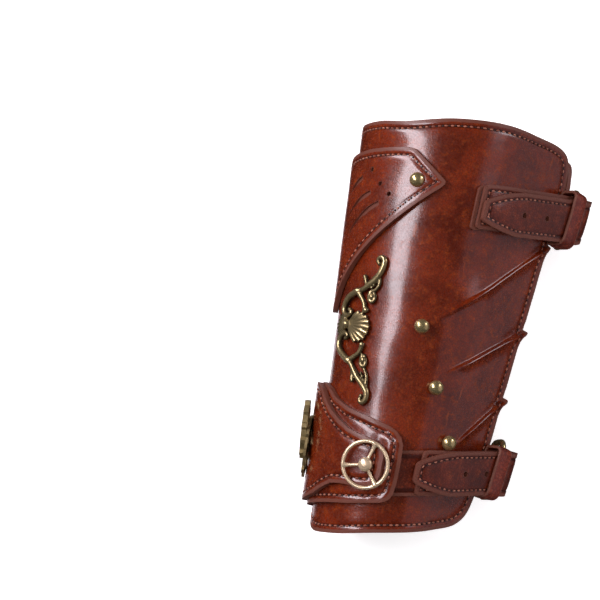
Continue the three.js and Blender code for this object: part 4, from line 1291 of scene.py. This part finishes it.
BEADS = [
    (57, 17.6, 1.0), (47, 11.6, 1.15), (52.3, -3.2, 1.35), (42.8, 5.2, 1.5), (35.8, -3, 1.1),
    (36, -15.8, 1.1), (43.4, -26, 1.5), (53.4, -18.6, 1.35), (49.3, -34.4, 1.15), (59.2, -40.8, 1.0),
    (55.6, 2.8, 1.35), (56.7, -25.2, 1.35), (36.3, -9.7, 2.1), (52.5, 9.6, 1.0), (54.6, 11.2, 0.95),
    (52.6, -31.2, 1.0), (57, 9.6, 0.9), (55.4, 8, 0.9), (56.3, 11, 0.8), (53.6, 6.9, 0.8),
    (57.6, -32.4, 0.9), (59, -34, 0.9), (56, -31, 0.8),
]
SHELL_CENTRE = (36.5, -9.7)
SHELL_RIM = [
    (46.5, -4.2), (50.5, -4.8), (54, -6.2), (56.3, -8.4), (57.2, -10.8), (56.4, -13.4), (54.4, -15.8),
    (51, -17), (46.8, -17.4),
]
PETALS = [(28, -4.2), (24.5, -5.2), (22.3, -7.1), (21.3, -9), (21.8, -10.9), (23.3, -12.6), (26, -14.1)]
RIB = [(0, 0.9, 0.8), (0.35, 0.1, 1.0), (0.75, 0.35, 1.3), (1, 0, 1.15)]
PETAL = [(0, 0.7, 1.1), (0.5, 0.3, 1.25), (1, 0.3, 0.75)]
STOUT = 1.25                    # all curls are drawn this much thicker


def scroll(row):
    path = row["path"]
    shares = np.linspace(0, 1, len(path))
    radii = [STOUT * float(np.interp(t, (0, 0.5, 1), row["wide"])) for t in shares]
    return rod([place(a, y, FIT + r) for (a, y), r in zip(path, radii)], radii)


def ray(angle, y, line):
    """A rod from the shell's centre outwards. A row of the line is share, height and radius."""
    from_angle, from_y = SHELL_CENTRE
    spots = [place(lerp(from_angle, angle, t), lerp(from_y, y, t), FIT + r + h) for t, h, r in line]
    return rod(spots, [r for _, _, r in line])


parts = [scroll(row) for row in SCROLLS]
for angle, y, size in BEADS:
    parts.append(ball(place(angle, y, FIT + size), (size, size, size)))
parts += [ray(angle, y, RIB) for angle, y in SHELL_RIM] + [ray(angle, y, PETAL) for angle, y in PETALS]
filigree = cast("filigree_bronze", parts, 0.24, 2)
height = filigree.data.attributes.new("lift_mm", "FLOAT", "POINT")
for v, item in zip(filigree.data.vertices, height.data):
    spot = v.co + MIDDLE
    item.value = math.hypot(spot.x, spot.z - REST_LIFT - radius(spot.y) + FLAT_DEPTH) - radius(spot.y)
set_down(filigree, Matrix.Identity(4))
dress(filigree, "bronze", "filigree")
pieces["filigree"] = filigree
print("scrollwork faces:", len(filigree.data.polygons))

# %% [markdown]
# The finishes share a few effects, so each effect is a node group that is built once: the cloudy mottling
# of waxed hide, its fine crackle, the burnished edge with the painted shade of the stitch groove, and the
# patina of old brass.
# The groups give out masks and heights only, and every material mixes its own colours with them.

# %% Node helpers
def new_material(name):
    material = bpy.data.materials.new(name)
    material.use_nodes = True
    return material, material.node_tree, material.node_tree.nodes["Principled BSDF"]


def put(tree, kind, inputs=None, **settings):
    """Adds a node. An input is a number or colour, or a pair (node, output) to link from."""
    node = tree.nodes.new(kind)
    for key, value in settings.items():
        setattr(node, key, value)
    for key, value in (inputs or {}).items():
        if isinstance(value, tuple) and len(value) == 2 and isinstance(value[0], bpy.types.Node):
            tree.links.new(value[0].outputs[value[1]], node.inputs[key])
        else:
            node.inputs[key].default_value = value
    return node


def new_group(name, inputs, outputs):
    tree = bpy.data.node_groups.new(name, "ShaderNodeTree")
    for label, kind, value in inputs:
        tree.interface.new_socket(label, in_out="INPUT", socket_type=kind).default_value = value
    for label in outputs:
        tree.interface.new_socket(label, in_out="OUTPUT", socket_type="NodeSocketFloat")
    return tree, tree.nodes.new("NodeGroupInput"), tree.nodes.new("NodeGroupOutput")


def span(tree, source, low, high, to_low=0.0, to_high=1.0):
    """Stretches a part of a value's range, softly."""
    return put(tree, "ShaderNodeMapRange", {
        "Value": source, "From Min": low, "From Max": high, "To Min": to_low, "To Max": to_high,
    }, interpolation_type="SMOOTHSTEP")


def times(tree, a, b, operation="MULTIPLY"):
    """Multiplies two values, or joins them by the operation that is named."""
    return put(tree, "ShaderNodeMath", {0: a, 1: b}, operation=operation)


def colour_mix(tree, share, first, second):
    """Mixes two colours. Sockets 6 and 7 of the Mix node are its colours, and output 2 is the result."""
    return put(tree, "ShaderNodeMix", {0: share, 6: first, 7: second}, data_type="RGBA")


print("node helpers: new_material, put, new_group, span, times, colour_mix")

# %% [markdown]
# Mottling is three noises of different size: clouds of tone, lighter rubbed spots and fine specks. The grain
# is a net of Voronoi cells, whose edges are the crackle. Scratches are noises stretched into streaks. The
# height adds up the cells, the pores and some broad dents, which make the shine of old leather uneven.

# %% Mottling, crackle and scratches of waxed hide
tree, given, result = new_group(
    "hide_mottle",
    [("Vector", "NodeSocketVector", (0, 0, 0))],
    ["Cloud", "Glow", "Speck"])
at = (given, "Vector")
cloud = put(tree, "ShaderNodeTexNoise",
            {"Vector": at, "Scale": 60, "Detail": 5, "Roughness": 0.62, "Distortion": 0.5})
glow = put(tree, "ShaderNodeTexNoise",
           {"Vector": at, "Scale": 300, "Detail": 6, "Roughness": 0.72, "Distortion": 0.3})
speck = put(tree, "ShaderNodeTexNoise", {"Vector": at, "Scale": 800, "Detail": 4, "Roughness": 0.7})
tree.links.new(span(tree, (cloud, "Fac"), 0.29, 0.69).outputs[0], result.inputs["Cloud"])
tree.links.new(span(tree, (glow, "Fac"), 0.46, 0.78).outputs[0], result.inputs["Glow"])
tree.links.new(span(tree, (speck, "Fac"), 0.38, 0.64).outputs[0], result.inputs["Speck"])
hide_mottle = tree

tree, given, result = new_group(
    "hide_grain",
    [("Vector", "NodeSocketVector", (0, 0, 0)), ("Cells", "NodeSocketFloat", 900.0)],
    ["Crackle", "Scratch", "Height"])
at = (given, "Vector")
warp = put(tree, "ShaderNodeTexNoise", {"Vector": at, "Scale": 300, "Detail": 2})
shift = put(tree, "ShaderNodeVectorMath",
            {0: (warp, "Color"), 1: (0.0011, 0.0011, 0.0011)}, operation="MULTIPLY")
moved = put(tree, "ShaderNodeVectorMath", {0: at, 1: (shift, "Vector")}, operation="ADD")
cells = put(tree, "ShaderNodeTexVoronoi", {"Vector": (moved, "Vector"), "Scale": (given, "Cells")},
            feature="DISTANCE_TO_EDGE")
crackle = span(tree, (cells, "Distance"), 0.02, 0.16, 1.0, 0.0)
streaks = []
for turn, stretch in ((0.5, (520, 26, 520)), (-0.75, (430, 20, 430))):
    mapped = put(tree, "ShaderNodeMapping", {"Vector": at, "Rotation": (0, 0, turn), "Scale": stretch})
    lines = put(tree, "ShaderNodeTexNoise",
                {"Vector": (mapped, "Vector"), "Scale": 1, "Detail": 1, "Roughness": 0.4})
    streaks.append(span(tree, (lines, "Fac"), 0.74, 0.80))
scratch = times(tree, (streaks[0], "Result"), (streaks[1], "Result"), "MAXIMUM")
fine = put(tree, "ShaderNodeTexNoise", {"Vector": at, "Scale": 1500, "Detail": 2})
ridge = times(tree, (cells, "Distance"), 1.6)
pores = times(tree, (fine, "Fac"), 0.35)
dents = put(tree, "ShaderNodeTexNoise", {"Vector": at, "Scale": 120, "Detail": 3, "Roughness": 0.55})
height = times(tree, (ridge, 0), (pores, 0), "ADD")
height = times(tree, (times(tree, (dents, "Fac"), 1.5), 0), (height, 0), "ADD")
tree.links.new(crackle.outputs[0], result.inputs["Crackle"])
tree.links.new(scratch.outputs[0], result.inputs["Scratch"])
tree.links.new(height.outputs[0], result.inputs["Height"])
hide_grain = tree
print("groups:", hide_mottle.name, hide_grain.name)

# %% [markdown]
# Every leather mesh carries its distance to the cut edge. This group turns it into two masks: a band along
# the edge with a ragged border, and a line along the stitches where painted shade stands for the groove
# that the stitches pull into the leather.

# %% Burnished edge and painted groove shade
tree, given, result = new_group(
    "cut_edge",
    [("Vector", "NodeSocketVector", (0, 0, 0)),
     ("Edge Width", "NodeSocketFloat", 1.6),
     ("Stitch Line", "NodeSocketFloat", PATCH_INSET)],
    ["Edge", "Groove Shade"])
distance = put(tree, "ShaderNodeAttribute", attribute_name="edge_mm")
ragged = put(tree, "ShaderNodeTexNoise", {"Vector": (given, "Vector"), "Scale": 380, "Detail": 3})
jitter = times(tree, (times(tree, (ragged, "Fac"), 0.5, "SUBTRACT"), 0), 0.9)
worn = times(tree, (distance, "Fac"), (jitter, 0), "ADD")
ratio = times(tree, (worn, 0), (given, "Edge Width"), "DIVIDE")
edge = span(tree, (ratio, 0), 0.8, 1.12, 1.0, 0.0)
off_line = times(tree, (distance, "Fac"), (given, "Stitch Line"), "SUBTRACT")
gap = times(tree, (off_line, 0), 0.0, "ABSOLUTE")
groove = span(tree, (gap, 0), 0.3, 1.0, 1.0, 0.0)
tree.links.new(edge.outputs[0], result.inputs["Edge"])
tree.links.new(groove.outputs[0], result.inputs["Groove Shade"])
cut_edge = tree
print("group:", cut_edge.name)

# %% [markdown]
# Waxed hide is dark red-brown with lighter, more orange clouds where it has been bent and rubbed. It has
# a clear polish on top, so the shader gets a coat. The cut edges are painted a duller brown, and the
# crackle and scratches only break the polish a little.

# %% Waxed hide
def hide_material(name, dark, mid, bright, edge_colour, stitch_line, rough, coat,
                  cells, glow, bump=0.2, edge_width=1.6):
    material, tree, shader = new_material(name)
    at = (put(tree, "ShaderNodeTexCoord"), "Object")
    mottle = put(tree, "ShaderNodeGroup", {"Vector": at}, node_tree=hide_mottle)
    grain = put(tree, "ShaderNodeGroup", {"Vector": at, "Cells": cells}, node_tree=hide_grain)
    edge_inputs = {"Vector": at, "Stitch Line": stitch_line, "Edge Width": edge_width}
    cut = put(tree, "ShaderNodeGroup", edge_inputs, node_tree=cut_edge)

    def shade(colour, share):
        return (*[c * share for c in colour], 1)
    tone = colour_mix(tree, (mottle, "Cloud"), (*dark, 1), (*mid, 1))
    lit = colour_mix(tree, (times(tree, (mottle, "Glow"), glow), 0), (tone, 2), (*bright, 1))
    specks = colour_mix(tree, (times(tree, (mottle, "Speck"), 0.5), 0), (lit, 2), shade(mid, 0.45))
    cracked = colour_mix(tree, (times(tree, (grain, "Crackle"), 0.5), 0), (specks, 2), shade(dark, 0.5))
    scored = colour_mix(tree, (times(tree, (grain, "Scratch"), 0.3), 0), (cracked, 2), (*bright, 1))
    # Painted shade: the leather is darkened along the stitch line, as if the groove there lay in shade.
    groove_shaded = colour_mix(tree, (times(tree, (cut, "Groove Shade"), 0.75), 0), (scored, 2), shade(dark, 0.4))
    painted = colour_mix(tree, (cut, "Edge"), (groove_shaded, 2), (*edge_colour, 1))
    tree.links.new(painted.outputs[2], shader.inputs["Base Color"])
    dull = times(tree, (times(tree, (cut, "Edge"), 0.15), 0), rough, "ADD")
    patchy = times(tree, (times(tree, (mottle, "Speck"), 0.10), 0), (dull, 0), "ADD")
    tree.links.new(patchy.outputs[0], shader.inputs["Roughness"])
    bare = times(tree, 1.0, (times(tree, (cut, "Edge"), 0.85), 0), "SUBTRACT")
    rubbed = span(tree, (mottle, "Glow"), 0.0, 0.8, coat * 1.15, coat * 0.55)
    polish = times(tree, (bare, 0), (rubbed, "Result"))
    tree.links.new(polish.outputs[0], shader.inputs["Coat Weight"])
    shader.inputs["Coat Roughness"].default_value = 0.15
    shader.inputs["Specular IOR Level"].default_value = 0.32
    relief = put(tree, "ShaderNodeBump", {"Height": (grain, "Height"), "Strength": bump, "Distance": 0.00025})
    tree.links.new(relief.outputs["Normal"], shader.inputs["Normal"])
    return material


EDGE_PAINT = (0.125, 0.038, 0.024)
KEEPER_EDGE = (0.15, 0.05, 0.032)
NO_STITCHES = 30.0              # farther from the edge than any place on a keeper
hide = hide_material(
    "waxed_hide", (0.072, 0.0076, 0.0022), (0.188, 0.0205, 0.0032), (0.370, 0.066, 0.0058),
    EDGE_PAINT, PATCH_INSET, rough=0.24, coat=0.62, cells=900.0, glow=0.65)
strap_hide = hide_material(
    "strap_hide", (0.050, 0.0070, 0.0032), (0.140, 0.0180, 0.0065), (0.270, 0.046, 0.011),
    EDGE_PAINT, STRAP_INSET, rough=0.36, coat=0.3, cells=800.0, glow=0.9, bump=0.5)
keeper_hide = hide_material(
    "keeper_hide", (0.085, 0.0105, 0.0055), (0.210, 0.0270, 0.0110), (0.360, 0.064, 0.022),
    KEEPER_EDGE, NO_STITCHES, rough=0.34, coat=0.35, cells=620.0, glow=0.9, bump=0.6, edge_width=0.7)
print("hides:", hide.name, strap_hide.name, keeper_hide.name)

# %% [markdown]
# The back of the leather is left raw. It is matt and fibrous, so it has no coat and a rough, furry bump.
# Thread is waxed and twisted: a wave across the stitch gives the twist in its bump, and darkens the colour
# between the plies as painted shade.

# %% Flesh side and thread
flesh, tree, shader = new_material("flesh_side")
at = (put(tree, "ShaderNodeTexCoord"), "Object")
mottle = put(tree, "ShaderNodeGroup", {"Vector": at}, node_tree=hide_mottle)
fibre = put(tree, "ShaderNodeTexNoise", {"Vector": at, "Scale": 1300, "Detail": 4, "Roughness": 0.7})
base = colour_mix(tree, (mottle, "Cloud"), (0.085, 0.034, 0.020, 1), (0.150, 0.066, 0.038, 1))
base = colour_mix(tree, (times(tree, (fibre, "Fac"), 0.5), 0), (base, 2), (0.055, 0.022, 0.014, 1))
tree.links.new(base.outputs[2], shader.inputs["Base Color"])
shader.inputs["Roughness"].default_value = 0.92
nap = put(tree, "ShaderNodeBump", {"Height": (fibre, "Fac"), "Strength": 0.6, "Distance": 0.0003})
tree.links.new(nap.outputs["Normal"], shader.inputs["Normal"])

thread, tree, shader = new_material("waxed_thread")
at = (put(tree, "ShaderNodeTexCoord"), "Object")
fade = put(tree, "ShaderNodeTexNoise", {"Vector": at, "Scale": 260, "Detail": 2})
twist_and_shade = put(tree, "ShaderNodeTexWave", {"Vector": at, "Scale": 700, "Distortion": 2})
faded = (span(tree, (fade, "Fac"), 0.35, 0.65), "Result")
base = colour_mix(tree, faded, (0.21, 0.058, 0.034, 1), (0.42, 0.155, 0.095, 1))
# Painted shade: the wave darkens the thread between its plies.
base = colour_mix(tree, (times(tree, (twist_and_shade, "Fac"), 0.25), 0), (base, 2), (0.12, 0.036, 0.022, 1))
tree.links.new(base.outputs[2], shader.inputs["Base Color"])
shader.inputs["Roughness"].default_value = 0.55
ply_bump = put(tree, "ShaderNodeBump", {"Height": (twist_and_shade, "Fac"), "Strength": 0.4, "Distance": 0.0001})
tree.links.new(ply_bump.outputs["Normal"], shader.inputs["Normal"])


def plain(name, colour, rough):
    material, _, shader = new_material(name)
    shader.inputs["Base Color"].default_value = (*colour, 1)
    shader.inputs["Roughness"].default_value = rough
    return material


# Partly raw leather and partly painted highlight: the cut walls are made much paler than the flesh side, as
# if lit.
raw_cut_highlight = plain("raw_cut_highlight", (0.36, 0.17, 0.10), 0.6)
# Painted shade: a near-black finish for the flattened spheres that stand in for the shade of the awl holes.
shade_dot_finish = plain("painted_hole_shade", (0.022, 0.006, 0.004), 0.7)
print("finishes:", flesh.name, thread.name, raw_cut_highlight.name, shade_dot_finish.name)

# %% [markdown]
# Antique brass is bright where it is rubbed and nearly black in its hollows. Pointiness tells hollows from
# ridges on a dense mesh, so it drives the patina, and some noise keeps the polish from being even. On the
# scrollwork the kept height above the wall darkens the low parts with the same dark, partly as patina and
# partly as painted shade near the leather. The gears get a rougher, duller brass, because their polished
# faces would throw a spot of light on the leather below them.

# %% Brass
tree, given, result = new_group(
    "patina",
    [("Vector", "NodeSocketVector", (0, 0, 0)),
     ("Point", "NodeSocketFloat", 0.5),
     ("Depth", "NodeSocketFloat", 0.06)],
    ["Hollow", "Smear", "Pit"])
at = (given, "Vector")
low = times(tree, 0.5, (given, "Depth"), "SUBTRACT")
high = times(tree, 0.5, (times(tree, (given, "Depth"), 0.25), 0), "ADD")
hollow = put(tree, "ShaderNodeMapRange", {
    "Value": (given, "Point"), "From Min": (low, 0), "From Max": (high, 0), "To Min": 1.0, "To Max": 0.0,
})
smear = put(tree, "ShaderNodeTexNoise", {"Vector": at, "Scale": 240, "Detail": 5, "Roughness": 0.65})
pit = put(tree, "ShaderNodeTexNoise", {"Vector": at, "Scale": 1400, "Detail": 3})
tree.links.new(hollow.outputs[0], result.inputs["Hollow"])
tree.links.new(span(tree, (smear, "Fac"), 0.4, 0.68).outputs[0], result.inputs["Smear"])
tree.links.new(pit.outputs["Fac"], result.inputs["Pit"])
patina = tree
LOW_RELIEF, HIGH_RELIEF = 1.1, 3.1


def brass_material(name, bright, dull, dark, rough, depth, hollow_share, smear_share,
                   metal=0.85, raised=False):
    material, tree, shader = new_material(name)
    at = (put(tree, "ShaderNodeTexCoord"), "Object")
    shape = put(tree, "ShaderNodeNewGeometry")
    age_inputs = {"Vector": at, "Point": (shape, "Pointiness"), "Depth": depth}
    age = put(tree, "ShaderNodeGroup", age_inputs, node_tree=patina)
    rubbed = colour_mix(tree, (times(tree, (age, "Smear"), smear_share), 0), (*bright, 1), (*dull, 1))
    hollow = (age, "Hollow")
    if raised:
        # Partly patina, partly painted shade: parts lying low near the leather are darkened.
        height = put(tree, "ShaderNodeAttribute", attribute_name="lift_mm")
        low_patina_and_shade = span(tree, (height, "Fac"), LOW_RELIEF, HIGH_RELIEF, 1.0, 0.0)
        hollow = (times(tree, hollow, (low_patina_and_shade, "Result"), "MAXIMUM"), 0)
    aged = colour_mix(tree, (times(tree, hollow, hollow_share), 0), (rubbed, 2), (*dark, 1))
    tree.links.new(aged.outputs[2], shader.inputs["Base Color"])
    shader.inputs["Metallic"].default_value = metal
    rougher = times(tree, (times(tree, (age, "Smear"), 0.14), 0), rough, "ADD")
    matt = times(tree, (times(tree, (age, "Hollow"), 0.25), 0), (rougher, 0), "ADD")
    tree.links.new(matt.outputs[0], shader.inputs["Roughness"])
    dents = put(tree, "ShaderNodeBump", {"Height": (age, "Pit"), "Strength": 0.12, "Distance": 0.0001})
    tree.links.new(dents.outputs["Normal"], shader.inputs["Normal"])
    return material


antique = brass_material(
    "antique_brass", (0.58, 0.46, 0.22), (0.38, 0.29, 0.12), (0.05, 0.038, 0.020),
    rough=0.22, depth=0.05, hollow_share=0.8, smear_share=0.5)
bronze = brass_material(
    "antique_bronze", (0.52, 0.41, 0.21), (0.24, 0.18, 0.08), (0.018, 0.014, 0.008),
    rough=0.26, depth=0.04, hollow_share=0.95, smear_share=0.6, raised=True)
champagne = brass_material(
    "champagne_brass", (0.76, 0.59, 0.39), (0.56, 0.42, 0.26), (0.12, 0.08, 0.045),
    rough=0.24, depth=0.05, hollow_share=0.7, smear_share=0.5, metal=0.6)
patinated = brass_material(
    "patinated_brass", (0.42, 0.33, 0.16), (0.22, 0.165, 0.075), (0.030, 0.023, 0.013),
    rough=0.46, depth=0.05, hollow_share=0.8, smear_share=0.7)
print("brass:", antique.name, bronze.name, champagne.name, patinated.name)

# %% [markdown]
# Last, each piece gets its finish. Leather pieces take two: the first slot is the polished face and its
# edges, and Solidify has already given the inner face to the second slot. The third slot, raw leather made
# pale as a painted highlight, shows in the cuts of the claw patch. A seam takes thread and the near-black
# finish that paints the shade of its awl holes.

# %% Give out the finishes
def paint(obj, *finishes):
    slots = [face.material_index for face in obj.data.polygons]
    obj.data.materials.clear()
    for finish in finishes:
        obj.data.materials.append(finish)
    obj.data.polygons.foreach_set("material_index", slots)


for key in ("wall", "claw", "wrist", "overlay"):
    paint(pieces[key], hide, flesh, raw_cut_highlight)
for name in STRAPS:
    paint(pieces[f"{name}_anchor"], strap_hide, flesh)
    paint(pieces[f"{name}_tongue"], strap_hide, flesh)
    paint(pieces[f"{name}_keeper"], keeper_hide, flesh)
    for key in ("frame", "roller", "prong"):
        paint(pieces[f"{name}_{key}"], antique)
for key in ("patch_stud", "stud_1", "stud_2", "stud_3"):
    paint(pieces[key], antique)
for key in ("gear_back", "gear_front"):
    paint(pieces[key], patinated)
paint(pieces["filigree"], bronze)
paint(pieces["wheel"], champagne)
for obj in seams:
    paint(obj, thread, shade_dot_finish)
print("dressed pieces:", len(pieces) + len(seams))
